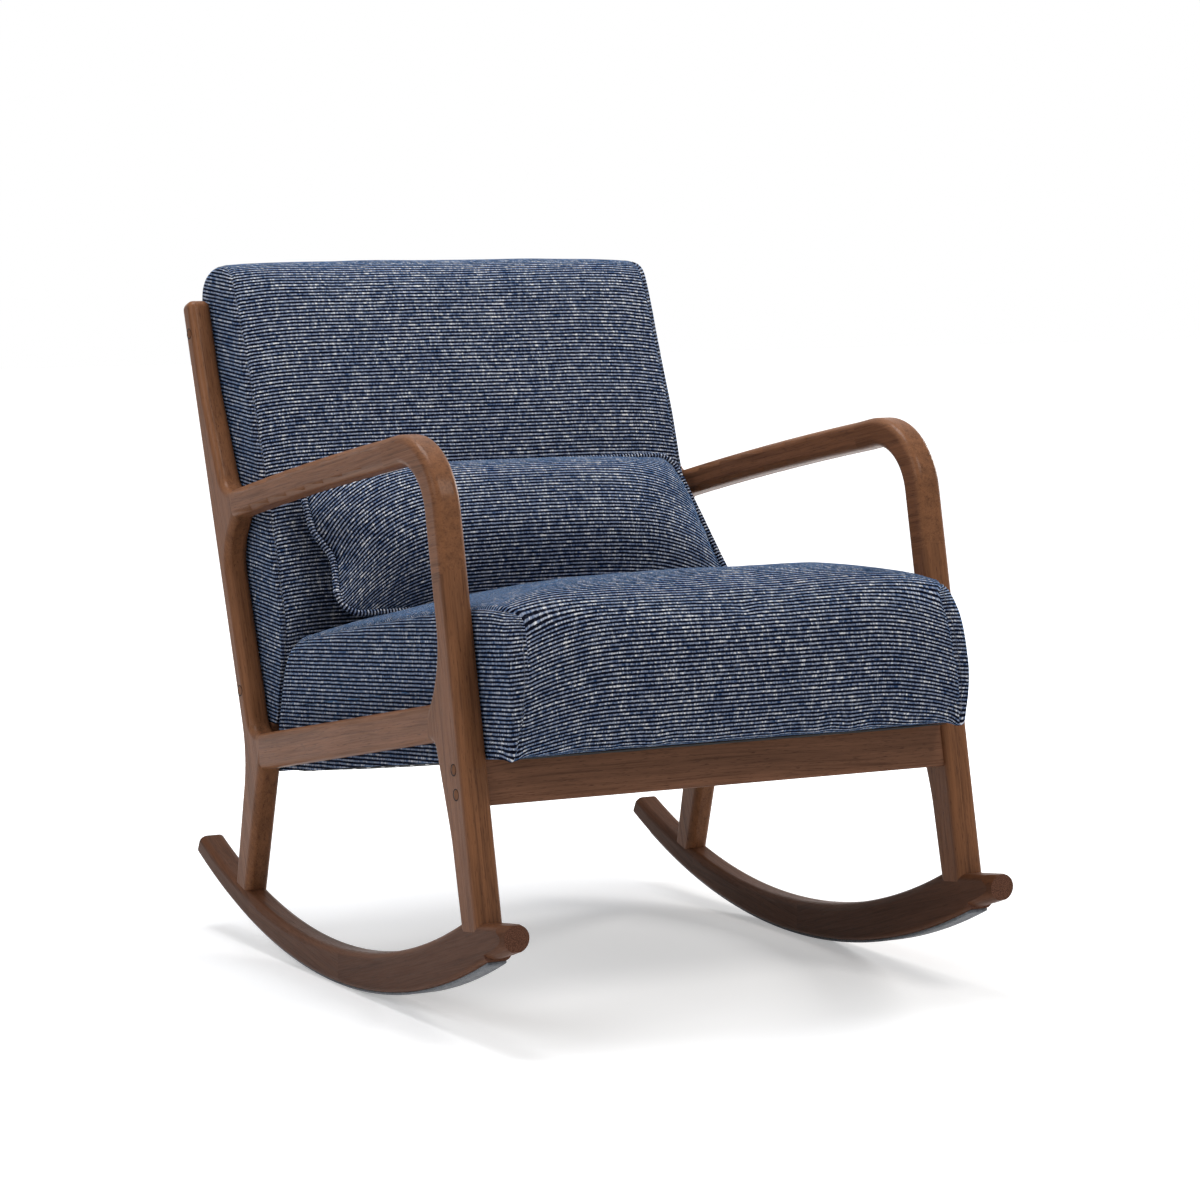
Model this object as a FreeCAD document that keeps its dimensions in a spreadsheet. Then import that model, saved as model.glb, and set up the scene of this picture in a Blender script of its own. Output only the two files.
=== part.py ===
import FreeCAD, Part
import math
import os
import re
import Sketcher

# A rocking armchair: two bent wood side frames on curved rockers, joined by a front apron
# and a rear rail, with an upholstered seat, an upholstered back and a loose lumbar pillow.
# Millimetres. Z is up, the chair faces -Y, and X = 0 is its plane of symmetry.
# The floor is Z = 0, and the rockers touch it along Y = 0.

DRIVING = {
    # side frames
    "overall_width": 670.0,
    "frame_width": 34.0,
    "post_width": 30.0,
    "post_inset": 3.0,
    "edge_round": 9.0,
    # rockers: an arc below, a flatter arc above, and a short straight nose
    "rocker_radius": 927.0,
    "rocker_taper": 58.0,
    "rocker_top_setback": 35.0,
    "rocker_waist": 39.5,
    "rocker_round": 7.0,
    "nose_reach": 452.0,
    "nose_lift": 46.55,
    "nose_depth": 30.0,
    "nose_start_reach": 409.0,
    "nose_end_radius": 15.5,
    "nose_root_radius": 24.0,
    "nose_taper": 45.0,
    "instep_round": 60.0,
    "tail_reach": 399.0,
    "tail_rake": 12.0,
    "front_seam_reach": 26.0,
    "rear_seam_reach": 236.0,
    "pad_thickness": 3.0,
    "pad_inset": 5.5,
    "pad_front_reach": 406.0,
    "pad_rear_reach": 361.0,
    # front leg, which bends over into the arm
    "foot_front_reach": 390.5,
    "foot_rear_reach": 346.0,
    "leg_lean": 0.2165,
    "leg_knee_height": 222.0,
    "leg_knee_reach": 322.0,
    "leg_knee_round": 240.0,
    "leg_crotch_height": 325.0,
    "leg_crotch_reach": 282.0,
    "leg_crotch_round": 12.0,
    "leg_joint_reach": 270.0,
    "leg_flare_rise": 44.4,
    "leg_flare_round": 125.0,
    "leg_depth": 35.6,
    "arm_depth": 34.5,
    "arm_front_height": 663.5,
    "arm_front_reach": 193.0,
    "arm_seam_reach": 150.0,
    "arm_fall": 0.204,
    "arm_outer_round": 98.0,
    "arm_inner_round": 63.0,
    "arm_bow_radius": 9000.0,
    # back post and rear leg, one bent piece
    "post_lean": 0.3426,
    "post_depth": 28.5,
    "post_rear_setback": 268.0,
    "post_rear_height": 289.0,
    "post_rise": 221.6,
    "post_top_round": 10.0,
    "boss_setback": 278.0,
    "boss_rise": 122.6,
    "boss_swell": 19.0,
    "boss_top_round": 250.0,
    "boss_corner_round": 30.0,
    "boss_skirt_drop": 43.0,
    "boss_skirt_round": 60.0,
    "hip_round": 24.0,
    "rear_foot_front_setback": 248.5,
    "rear_foot_rear_setback": 285.0,
    "rear_leg_lean": 0.21,
    "rear_leg_front_lean": 0.28,
    "rear_leg_round": 150.0,
    # side rail
    "rail_rear_setback": 208.0,
    "rail_rear_height": 271.5,
    "rail_rear_depth": 44.5,
    "rail_front_height": 365.6,
    "rail_front_depth": 43.0,
    # cross rails
    "apron_thickness": 25.0,
    "apron_setback": 9.0,
    "apron_bottom_height": 260.0,
    "cross_rail_round": 3.0,
    "rear_rail_thickness": 22.0,
    "rear_rail_setback": 233.0,
    "rear_rail_bottom_height": 236.0,
    "rear_rail_depth": 43.0,
    # dowels, bolts, washers, nuts, inserts and plugs
    "clearance": 0.1,
    "dowel_radius": 4.0,
    "dowel_length": 40.0,
    "dowel_spacing": 17.0,
    "plug_radius": 7.0,
    "plug_length": 6.0,
    "head_radius": 6.0,
    "head_length": 4.0,
    "socket_radius": 2.3,
    "socket_depth": 2.4,
    "washer_radius": 6.8,
    "washer_thickness": 1.2,
    "bolt_radius": 3.0,
    "apron_bolt_length": 52.0,
    "post_bolt_length": 44.0,
    "seat_bolt_length": 54.0,
    "nut_radius": 5.0,
    "nut_length": 16.0,
    "insert_radius": 5.0,
    "insert_length": 15.0,
    "apron_bolt_low_height": 273.0,
    "apron_bolt_high_height": 300.0,
    "post_bolt_low_height": 318.0,
    "post_bolt_drop": 35.0,
    "seat_bolt_front_reach": 180.0,
    "seat_bolt_rear_setback": 110.0,
    # seat
    "seat_front_reach": 398.0,
    "seat_front_height": 319.0,
    "seat_slope": 0.16,
    "seat_rear_setback": 231.0,
    "seat_brow_reach": 392.0,
    "seat_brow_height": 440.0,
    "seat_top_reach": 352.0,
    "seat_top_height": 472.0,
    "seat_back_top_setback": 172.0,
    "seat_back_top_height": 388.0,
    "seat_heel_setback": 199.0,
    "seat_heel_height": 367.0,
    "seat_heel_bulge": 4.0,
    "seat_crown": 34.0,
    "seat_front_bulge": 13.0,
    "seat_brow_bulge": 11.0,
    "seat_top_bulge": 6.0,
    "seat_draw_in": 4.0,
    "side_gap": 0.4,
    "cover_thickness": 2.0,
    "layer_gap": 0.3,
    "seat_frame_inset": 15.0,
    "seat_frame_rear_inset": 36.0,
    "seat_frame_depth": 58.0,
    "frame_board": 22.0,
    "corner_block_size": 46.0,
    "corner_block_height": 30.0,
    "screw_radius": 2.0,
    "screw_length": 40.0,
    "screw_head_radius": 4.0,
    "screw_head_length": 2.4,
    "dust_cover_thickness": 1.0,
    "fibre_pad_thickness": 32.0,
    "fibre_pad_rear_inset": 64.0,
    "spring_wire": 1.9,
    "spring_swing": 24.0,
    "spring_spacing": 125.0,
    "clip_size": 14.0,
    "clip_height": 7.8,
    # back
    "back_rear_gap": 7.0,
    "back_base_height": 279.3,
    "back_foot_setback": 222.5,
    "back_top_length": 566.0,
    "back_waist_length": 86.0,
    "back_waist_depth": 101.0,
    "back_shoulder_length": 538.0,
    "back_shoulder_depth": 90.0,
    "back_brow_depth": 66.0,
    "back_rear_round": 24.0,
    "back_crown": 13.0,
    "back_top_crown": 12.0,
    "back_front_bulge": 4.0,
    "back_shoulder_bulge": 9.0,
    "back_top_bulge": 3.0,
    "back_frame_rear_depth": 12.0,
    "back_frame_base_height": 14.0,
    "back_frame_length": 524.0,
    "back_frame_inset": 8.0,
    "back_stile_width": 46.0,
    "web_width": 50.0,
    "web_thickness": 1.6,
    "web_spacing": 70.0,
    "padding_gap": 0.3,
    "padding_thickness": 4.0,
    # lumbar pillow, loose
    "pillow_centre_x": 10.0,
    "pillow_centre_setback": 190.0,
    "pillow_centre_height": 508.3,
    "pillow_lean": 32.0,
    "pillow_room": 65.2,
    "pillow_height": 196.0,
    "pillow_front_bulge": 60.0,
    "pillow_rear_bulge": 34.0,
    "pillow_end_bulge": 7.0,
    "pillow_cloth": 1.5,
    "pillow_seam": 1.0,
    "pillow_corner": 26.0,
    "piping_radius": 4.0,
    "zipper_length": 320.0,
    "zipper_radius": 2.0,
}
SPRING_COUNT = 4
SPRING_TURNS = 24
WEB_COUNT = 6
# how a cushion swells from its side seam to its middle, at shares of its half width
SWELL_SHARES = ((1.0, 0.0), (0.965, 0.34), (0.88, 0.66), (0.66, 0.9), (0.34, 0.98), (0.0, 1.0))
# how the pillow fills out from its ends to its middle
PILLOW_SHARES = ((1.0, 0.0), (0.95, 0.33), (0.86, 0.6), (0.68, 0.84), (0.38, 0.97), (0.0, 1.0))

# how much of the seat's crown reaches its brow and its rear, and of the back's its shoulder
SEAT_BROW_CROWN_SHARE = 0.55
SEAT_REAR_CROWN_SHARE = 0.6
SHOULDER_CROWN_SHARE = 0.4

# two places nearer than this are one
TOUCH = 0.01

doc = FreeCAD.newDocument("RockingChair")
sizes = doc.addObject("Spreadsheet::Sheet", "Sizes")
for row, (alias, value) in enumerate(DRIVING.items(), start=1):
    sizes.set(f"A{row}", alias)
    sizes.set(f"B{row}", str(value))
    sizes.setAlias(f"B{row}", alias)
doc.recompute()

places = doc.addObject("Spreadsheet::Sheet", "Places")
DERIVED = {}
WORD = re.compile(r"[a-z][a-z0-9_]*")


def place(alias, formula):
    """Add a place that follows from the sizes, as a cell of its own."""
    row = len(DERIVED) + 1
    spelled = WORD.sub(lambda m: "Sizes." + m[0] if m[0] in DRIVING else m[0], formula)
    places.set(f"A{row}", alias)
    places.set(f"B{row}", "=" + spelled)
    places.setAlias(f"B{row}", alias)
    DERIVED[alias] = formula


def full(formula):
    """Spell a formula of sizes and places with the names of their sheets."""
    def spell(found):
        word = found[0]
        if word in DRIVING:
            return "Sizes." + word
        if word in DERIVED:
            return "Places." + word
        return word
    return WORD.sub(spell, formula)


def number(formula):
    """Work out a formula of sizes and places."""
    value = sizes.evalExpression(full(formula))
    return float(getattr(value, "Value", value))


def arc_height(radius, level, y):
    """Height of a rocker's arc of a radius, whose centre is at a level, at a place along Y."""
    return f"({level} - sqrt({radius}^2 - ({y})^2))"


# Rockers.
place("wood_radius", "rocker_radius - pad_thickness")
place("rocker_top_radius", "wood_radius - rocker_taper")
place("top_level", "pad_thickness + rocker_waist + rocker_top_radius")
place("nose_start_height", arc_height("wood_radius", "rocker_radius", "nose_start_reach"))
place("nose_top_height", "nose_start_height + nose_lift")
place("nose_low_height", "nose_top_height - nose_depth")
place("tail_low_height", arc_height("wood_radius", "rocker_radius", "tail_reach"))
place("tail_top_setback", "tail_reach - tail_rake")
place("tail_top_height",
      arc_height("rocker_top_radius", "top_level", "tail_top_setback - rocker_top_setback"))
place("front_seam_low", arc_height("wood_radius", "rocker_radius", "front_seam_reach"))
place("front_seam_top",
      arc_height("rocker_top_radius", "top_level", "front_seam_reach + rocker_top_setback"))
place("rear_seam_low", arc_height("wood_radius", "rocker_radius", "rear_seam_reach"))
place("rear_seam_top",
      arc_height("rocker_top_radius", "top_level", "rear_seam_reach - rocker_top_setback"))
place("pad_front_low", arc_height("rocker_radius", "rocker_radius", "pad_front_reach"))
place("pad_front_high", arc_height("wood_radius", "rocker_radius", "pad_front_reach"))
place("pad_rear_low", arc_height("rocker_radius", "rocker_radius", "pad_rear_reach"))
place("pad_rear_high", arc_height("wood_radius", "rocker_radius", "pad_rear_reach"))

# Front leg and arm.
place("foot_rear_height",
      arc_height("rocker_top_radius", "top_level", "foot_rear_reach + rocker_top_setback"))
place("nose_rise", "(nose_top_height - foot_rear_height) / (nose_reach - foot_rear_reach)")
place("foot_front_height", "foot_rear_height + nose_rise * (foot_front_reach - foot_rear_reach)")
place("arm_corner_height",
      "(arm_front_height + arm_fall * (foot_front_reach + leg_lean * foot_front_height"
      " - arm_front_reach)) / (1 + arm_fall * leg_lean)")
place("arm_corner_reach", "foot_front_reach - leg_lean * (arm_corner_height - foot_front_height)")
place("leg_rear_reach", "foot_front_reach - leg_depth")
place("arm_drop", "arm_depth * sqrt(1 + arm_fall^2)")
place("elbow_height",
      "(arm_front_height - arm_drop + arm_fall * (leg_rear_reach + leg_lean * foot_front_height"
      " - arm_front_reach)) / (1 + arm_fall * leg_lean)")
place("elbow_reach", "leg_rear_reach - leg_lean * (elbow_height - foot_front_height)")
place("leg_flare_height", "rail_front_height + leg_flare_rise")
place("leg_flare_reach", "leg_rear_reach - leg_lean * (leg_flare_height - foot_front_height)")
place("leg_joint_top", "rail_front_height")
place("leg_joint_low", "rail_front_height - rail_front_depth")
place("arm_seam_top", "arm_front_height - arm_fall * (arm_front_reach - arm_seam_reach)")
place("arm_seam_shift", "arm_depth * arm_fall / sqrt(1 + arm_fall^2)")
place("arm_seam_low_reach", "arm_seam_reach + arm_seam_shift")
place("arm_seam_low", "arm_seam_top - arm_depth / sqrt(1 + arm_fall^2)")
place("arm_rear_top", "arm_front_height - arm_fall * (arm_front_reach + boss_setback)")
place("arm_rear_low", "arm_rear_top - arm_drop")

# Back post and rear leg.
place("post_top_height", "arm_rear_top + post_rise")
place("post_bolt_high_height", "post_top_height - post_bolt_drop")
place("rear_foot_front_height",
      arc_height("rocker_top_radius", "top_level", "rear_foot_front_setback - rocker_top_setback"))
place("rear_foot_rear_height",
      arc_height("rocker_top_radius", "top_level", "rear_foot_rear_setback - rocker_top_setback"))
place("hip_height",
      "(rear_foot_rear_setback + rear_leg_lean * rear_foot_rear_height - post_rear_setback"
      " + post_lean * post_rear_height) / (post_lean + rear_leg_lean)")
place("hip_setback", "post_rear_setback + post_lean * (hip_height - post_rear_height)")
place("post_top_setback", "post_rear_setback + post_lean * (post_top_height - post_rear_height)")
place("post_cosine", "1 / sqrt(1 + post_lean^2)")
place("post_front_top_setback", "post_top_setback - post_depth * post_cosine^2")
place("post_front_top_height", "post_top_height + post_depth * post_lean * post_cosine^2")
place("post_front_setback", "post_rear_setback - post_depth")
place("boss_top_height", "arm_rear_top + boss_rise")
place("boss_top_setback", "post_front_setback + post_lean * (boss_top_height - post_rear_height)")
place("boss_lean", "post_lean + boss_swell / (boss_top_height - arm_rear_top)")
place("boss_corner_height",
      "(arm_rear_top - arm_fall * (boss_top_setback - boss_lean * boss_top_height - boss_setback))"
      " / (1 + arm_fall * boss_lean)")
place("boss_corner_setback", "boss_top_setback + boss_lean * (boss_corner_height - boss_top_height)")
place("skirt_height", "arm_rear_low - boss_skirt_drop")
place("skirt_setback", "post_front_setback + post_lean * (skirt_height - post_rear_height)")
place("rail_rise", "(rail_front_height - rail_rear_height) / (leg_joint_reach + rail_rear_setback)")
place("groin_height",
      "(rail_rear_height - rail_rise * (post_front_setback - post_lean * post_rear_height"
      " - rail_rear_setback)) / (1 + rail_rise * post_lean)")
place("groin_setback", "post_front_setback + post_lean * (groin_height - post_rear_height)")
place("rail_rear_low", "rail_rear_height - rail_rear_depth")
place("rail_rear_low_setback",
      "rear_foot_front_setback - rear_leg_front_lean * (rail_rear_low - rear_foot_front_height)")

# Depths from the outermost face of a side frame inwards, and where the upholstery starts.
place("post_inner_depth", "post_inset + post_width")
place("seat_half_width", "overall_width / 2 - frame_width - side_gap")
place("back_half_width", "seat_half_width")
place("seat_frame_half_width", "seat_half_width - seat_frame_inset")
place("back_frame_half_width", "back_half_width - back_frame_inset")
place("skin", "cover_thickness + layer_gap")
place("pillow_width", "2 * seat_half_width - pillow_room")
place("between_legs", "overall_width - 2 * frame_width")
place("between_posts", "overall_width - 2 * post_inner_depth")

# The apron leans with the front legs, and its top meets the seat's underside.
place("apron_bottom_reach",
      "foot_front_reach - leg_lean * (apron_bottom_height - foot_front_height) - apron_setback")
place("apron_top",
      "(seat_front_height - seat_slope * (seat_front_reach - apron_bottom_reach"
      " - leg_lean * apron_bottom_height)) / (1 + seat_slope * leg_lean)")
place("apron_top_reach", "apron_bottom_reach - leg_lean * (apron_top - apron_bottom_height)")
place("apron_rear_top", "apron_top - seat_slope * apron_thickness / (1 + seat_slope * leg_lean)")
place("apron_rear_top_reach",
      "apron_bottom_reach - apron_thickness - leg_lean * (apron_rear_top - apron_bottom_height)")

# Fasteners: how deep their heads and bores lie.
place("head_depth", "plug_length + head_length")
place("seat_depth", "head_depth + washer_thickness")
place("bore_radius", "bolt_radius + clearance")
place("post_head_depth", "post_inset + seat_depth")
place("seat_washer_depth", "overall_width / 2 - seat_frame_half_width + frame_board")

# The seat's underside, from its front corner, and the back's rear face, from its foot.
place("seat_angle", "atan(seat_slope) / 1 deg")
place("seat_rear_height", "seat_front_height - seat_slope * (seat_front_reach + seat_rear_setback)")
place("seat_length", "(seat_front_reach + seat_rear_setback) / cos(seat_angle)")
place("seat_frame_length", "seat_length - seat_frame_inset - seat_frame_rear_inset")
place("seat_board_top", "skin + seat_frame_depth")
place("spring_height", "seat_board_top + clip_height / 2")
place("post_angle", "atan(post_lean) / 1 deg")
place("back_base_setback",
      "post_rear_setback + back_rear_gap + post_lean * (back_base_height - post_rear_height)")
doc.recompute()

MADE = {}


def keep(label, thing):
    """Name a finished sub-part, which is then written to a file of that name."""
    thing.Label = label
    MADE[label] = thing
    return thing


def sketch_outline(body, name, start_x, outline):
    """Draw a closed outline in Y and Z: each step is a way, Y, Z and for an arc its radius."""
    sketch = body.newObject("Sketcher::SketchObject", name)
    plane = [item for item in body.Origin.OriginFeatures if item.Role == "YZ_Plane"][0]
    sketch.AttachmentSupport = (plane, "")
    sketch.MapMode = "FlatFace"
    sketch.setExpression("AttachmentOffset.Base.z", full(start_x))
    corners = [FreeCAD.Vector(number(step[1]), number(step[2]), 0) for step in outline]
    ends = []
    for index, step in enumerate(outline):
        near, far = corners[index - 1], corners[index]
        if step[0] == "line":
            sketch.addGeometry(Part.LineSegment(near, far))
            ends.append((1, 2))
            continue
        radius = number(step[3])
        half = (far - near) * 0.5
        across = FreeCAD.Vector(-half.y, half.x, 0).normalize()
        side = 1 if step[0] == "left" else -1
        rise = math.sqrt(radius ** 2 - half.Length ** 2)
        centre = near + half + across * rise * side
        first, last = (near, far) if side > 0 else (far, near)
        turn = [math.atan2(p.y - centre.y, p.x - centre.x) for p in (first, last)]
        circle = Part.Circle(centre, FreeCAD.Vector(0, 0, 1), radius)
        arc = sketch.addGeometry(Part.ArcOfCircle(circle, turn[0], turn[1]))
        ends.append((1, 2) if side > 0 else (2, 1))
        mark = sketch.addConstraint(Sketcher.Constraint("Radius", arc, radius))
        sketch.renameConstraint(mark, f"radius{index}")
        sketch.setExpression(f"Constraints.radius{index}", full(step[3]))
    for index, step in enumerate(outline):
        after = (index + 1) % len(outline)
        sketch.addConstraint(
            Sketcher.Constraint("Coincident", index, ends[index][1], after, ends[after][0]))
        for way, value in (("DistanceX", step[1]), ("DistanceY", step[2])):
            mark = sketch.addConstraint(
                Sketcher.Constraint(way, -1, 1, index, ends[index][1], number(value)))
            sketch.renameConstraint(mark, f"{way}{index}")
            sketch.setExpression(f"Constraints.{way}{index}", full(value))
    return sketch


def flat(vertex):
    """A point's place in Y and Z."""
    return FreeCAD.Vector(0, vertex.y, vertex.z)


def board(name, start_x, width, outline, bends=(), rounds=()):
    """A board cut to an outline, with bent corners, rounded long edges and plain joint faces."""
    body = doc.addObject("PartDesign::Body", name)
    sketch = sketch_outline(body, name + "_outline", start_x, outline)
    tip = body.newObject("PartDesign::Pad", name + "_pad")
    tip.Profile = sketch
    tip.setExpression("Length", full(width))
    doc.recompute()
    corners = [FreeCAD.Vector(0, number(step[1]), number(step[2])) for step in outline]
    for corner, radius in bends:
        chosen = []
        for index, edge in enumerate(tip.Shape.Edges, start=1):
            spots = [flat(vertex.Point) for vertex in edge.Vertexes]
            if len(spots) == 2 and all((spot - corners[corner]).Length < TOUCH for spot in spots):
                chosen.append(f"Edge{index}")
        tip = fillet(body, tip, f"{name}_bend{corner}", chosen, radius)
    middle = number(start_x) + number(width) / 2
    for turn, (radius, steps) in enumerate(rounds):
        chosen = []
        for index, edge in enumerate(tip.Shape.Edges, start=1):
            spot = edge.valueAt((edge.FirstParameter + edge.LastParameter) / 2)
            side = abs(spot.x - middle) > number(width) / 2 - TOUCH
            along = all(abs(v.Point.x - spot.x) < TOUCH for v in edge.Vertexes)
            if side and along and outline_step(flat(spot), corners, outline) in steps:
                chosen.append(f"Edge{index}")
        tip = fillet(body, tip, f"{name}_round{turn}", chosen, radius)
    body.Tip = tip
    doc.recompute()
    return body


def outline_step(spot, corners, outline):
    """Tell which step of an outline passes nearest to a place."""
    best, least = None, None
    for index, step in enumerate(outline):
        near, far = corners[index - 1], corners[index]
        if step[0] == "line":
            gap = spot.distanceToLineSegment(near, far).Length
        else:
            gap = arc_gap(spot, near, far, number(step[3]), 1 if step[0] == "left" else -1)
        if least is None or gap < least:
            best, least = index, gap
    return best


def arc_gap(spot, near, far, radius, side):
    """Distance of a place from an arc between two corners."""
    half = (far - near) * 0.5
    across = FreeCAD.Vector(0, -half.z, half.y).normalize()
    centre = near + half + across * math.sqrt(radius ** 2 - half.Length ** 2) * side
    reach = (spot - near - half).Length
    return abs((spot - centre).Length - radius) + max(0.0, reach - half.Length)


def fillet(body, base, name, edges, radius):
    """Round edges of a body's last feature."""
    feature = body.newObject("PartDesign::Fillet", name)
    feature.Base = (base, edges)
    feature.setExpression("Radius", full(radius))
    doc.recompute()
    return feature


def rod(name, radius, length, x, y, z, lean="0 deg"):
    """A round rod centred on a place, in the plane of Y and Z, leaning forward from upright."""
    cylinder = doc.addObject("Part::Cylinder", name)
    cylinder.setExpression("Radius", full(radius))
    cylinder.setExpression("Height", full(length))
    cylinder.Placement.Rotation = FreeCAD.Rotation(FreeCAD.Vector(1, 0, 0), 1)
    cylinder.setExpression(".Placement.Rotation.Angle", full(lean))
    cylinder.setExpression(".Placement.Base.x", full(x))
    cylinder.setExpression(".Placement.Base.y", full(f"({y}) + sin({lean}) * ({length}) / 2"))
    cylinder.setExpression(".Placement.Base.z", full(f"({z}) - cos({lean}) * ({length}) / 2"))
    return cylinder


def cross_rod(name, radius, length, start_x, y, z):
    """A round rod along X, from its lowest X."""
    cylinder = doc.addObject("Part::Cylinder", name)
    cylinder.setExpression("Radius", full(radius))
    cylinder.setExpression("Height", full(length))
    cylinder.Placement.Rotation = FreeCAD.Rotation(FreeCAD.Vector(0, 1, 0), 90)
    cylinder.setExpression(".Placement.Base.x", full(start_x))
    cylinder.setExpression(".Placement.Base.y", full(y))
    cylinder.setExpression(".Placement.Base.z", full(z))
    return cylinder


def group(name, members):
    """Several separate solids as one object."""
    compound = doc.addObject("Part::Compound", name)
    compound.Links = members
    return compound


def cut(name, base, tools):
    """A piece with holes where its tools are."""
    feature = doc.addObject("Part::Cut", name)
    feature.Base = base
    feature.Tool = tools[0] if len(tools) == 1 else group(name + "_tools", tools)
    return feature


def formed(name, shape, spot=(0, 0, 0), turn=0):
    """A piece whose form is worked out here, moved to a place and turned about X."""
    feature = doc.addObject("Part::Feature", name)
    feature.Shape = shape
    feature.Placement = FreeCAD.Placement(
        FreeCAD.Vector(*spot), FreeCAD.Rotation(FreeCAD.Vector(1, 0, 0), turn))
    return feature


SIDES = {"left": -1, "right": 1}


def from_outside(side, depth, width):
    """Lowest X of a piece of a width that starts at a depth behind a side's outermost face."""
    if side == "left":
        return f"({depth}) - overall_width / 2"
    return f"overall_width / 2 - ({depth}) - ({width})"


def middle_x(side, depth, width):
    """Middle X of the same piece."""
    return f"{SIDES[side]} * (overall_width / 2 - ({depth}) - ({width}) / 2)"


def rocker_segments(side):
    """The three segments of one rocker."""
    start = from_outside(side, "0", "frame_width")
    front = board(f"rocker_front_{side}_blank", start, "frame_width", (
        ("line", "0 - front_seam_reach", "front_seam_low"),
        ("right", "0 - nose_start_reach", "nose_start_height", "wood_radius"),
        ("line", "0 - nose_reach", "nose_low_height"),
        ("line", "0 - nose_reach", "nose_top_height"),
        ("line", "0 - foot_rear_reach", "foot_rear_height"),
        ("left", "0 - front_seam_reach", "front_seam_top", "rocker_top_radius"),
    ), bends=((4, "instep_round"),), rounds=(("rocker_round", (1, 2)), ("edge_round", (4, 5))))
    front = turned_nose(side, front)
    middle = board(f"rocker_middle_{side}_blank", start, "frame_width", (
        ("line", "rear_seam_reach", "rear_seam_low"),
        ("right", "0 - front_seam_reach", "front_seam_low", "wood_radius"),
        ("line", "0 - front_seam_reach", "front_seam_top"),
        ("left", "rear_seam_reach", "rear_seam_top", "rocker_top_radius"),
    ), rounds=(("rocker_round", (1,)), ("edge_round", (3,))))
    rear = board(f"rocker_rear_{side}_blank", start, "frame_width", (
        ("line", "tail_reach", "tail_low_height"),
        ("right", "rear_seam_reach", "rear_seam_low", "wood_radius"),
        ("line", "rear_seam_reach", "rear_seam_top"),
        ("left", "tail_top_setback", "tail_top_height", "rocker_top_radius"),
    ), rounds=(("rocker_round", (1,)), ("edge_round", (3,))))
    return front, middle, rear


def turned_nose(side, blank):
    """A rocker's front segment whose nose is turned to a round end."""
    slope = "(nose_root_radius - nose_end_radius) / nose_taper"
    tilt = "atan(nose_rise)"
    length = "nose_taper + 2 * edge_round"
    cone = doc.addObject("Part::Cone", f"nose_cone_{side}")
    cone.setExpression("Radius1", full(f"nose_root_radius + {slope} * edge_round"))
    cone.setExpression("Radius2", full(f"nose_end_radius - {slope} * edge_round"))
    cone.setExpression("Height", full(length))
    cone.Placement.Rotation = FreeCAD.Rotation(FreeCAD.Vector(1, 0, 0), 1)
    cone.setExpression(".Placement.Rotation.Angle", full(f"90 deg - {tilt}"))
    cone.setExpression(".Placement.Base.x", full(middle_x(side, "0", "frame_width")))
    cone.setExpression(".Placement.Base.y",
                       full(f"0 - nose_reach + cos({tilt}) * (nose_taper + edge_round)"))
    cone.setExpression(".Placement.Base.z", full(
        f"(nose_top_height + nose_low_height) / 2 - sin({tilt}) * (nose_taper + edge_round)"))
    sleeve = doc.addObject("Part::Box", f"nose_sleeve_{side}")
    sleeve.setExpression("Length", full("frame_width + 2 * edge_round"))
    sleeve.setExpression("Width", full("nose_taper + edge_round"))
    sleeve.setExpression("Height", full("nose_depth + 4 * edge_round"))
    sleeve.setExpression(".Placement.Base.x", full(
        from_outside(side, "0 - edge_round", "frame_width + 2 * edge_round")))
    sleeve.setExpression(".Placement.Base.y", full("0 - nose_reach - edge_round"))
    sleeve.setExpression(".Placement.Base.z", full("nose_low_height - 2 * edge_round"))
    doc.recompute()
    collar = cut(f"nose_collar_{side}", sleeve, [cone])
    return cut(f"rocker_front_{side}_turned", blank, [collar])


def rocker_pad(side):
    """The felt strip under one rocker."""
    width = "frame_width - 2 * pad_inset"
    return board(f"pad_{side}", from_outside(side, "pad_inset", width), width, (
        ("line", "pad_rear_reach", "pad_rear_low"),
        ("right", "0 - pad_front_reach", "pad_front_low", "rocker_radius"),
        ("line", "0 - pad_front_reach", "pad_front_high"),
        ("left", "pad_rear_reach", "pad_rear_high", "wood_radius"),
    ))


def front_leg(side):
    """A front leg with its bend into the arm; its foot runs down to be fitted to the rocker."""
    spare = "edge_round * 2"
    return board(f"front_leg_{side}_blank", from_outside(side, "0", "frame_width"), "frame_width", (
        ("line", f"0 - foot_front_reach - leg_lean * {spare}", f"foot_front_height - {spare}"),
        ("line", "0 - arm_corner_reach", "arm_corner_height"),
        ("line", "0 - arm_seam_reach", "arm_seam_top"),
        ("line", "0 - arm_seam_low_reach", "arm_seam_low"),
        ("line", "0 - elbow_reach", "elbow_height"),
        ("line", "0 - leg_flare_reach", "leg_flare_height"),
        ("line", "0 - leg_joint_reach", "leg_joint_top"),
        ("line", "0 - leg_joint_reach", "leg_joint_low"),
        ("line", "0 - leg_crotch_reach", "leg_crotch_height"),
        ("line", "0 - leg_knee_reach", "leg_knee_height"),
        ("line", f"0 - foot_rear_reach - leg_lean * {spare}", f"foot_rear_height - {spare}"),
    ), bends=((1, "arm_outer_round"), (4, "arm_inner_round"), (5, "leg_flare_round"),
              (8, "leg_crotch_round"), (9, "leg_knee_round")),
        rounds=(("edge_round", (1, 2, 4, 5, 6, 8, 9, 10)),))


def armrest(side):
    """The straight run of an arm, from the bend's seam to the back post."""
    return board(f"armrest_{side}_blank", from_outside(side, "0", "frame_width"), "frame_width", (
        ("line", "0 - arm_seam_low_reach", "arm_seam_low"),
        ("right", "boss_setback", "arm_rear_low", "arm_bow_radius"),
        ("line", "boss_setback", "arm_rear_top"),
        ("left", "0 - arm_seam_reach", "arm_seam_top", "arm_bow_radius"),
    ), rounds=(("edge_round", (1, 3)),))


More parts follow.
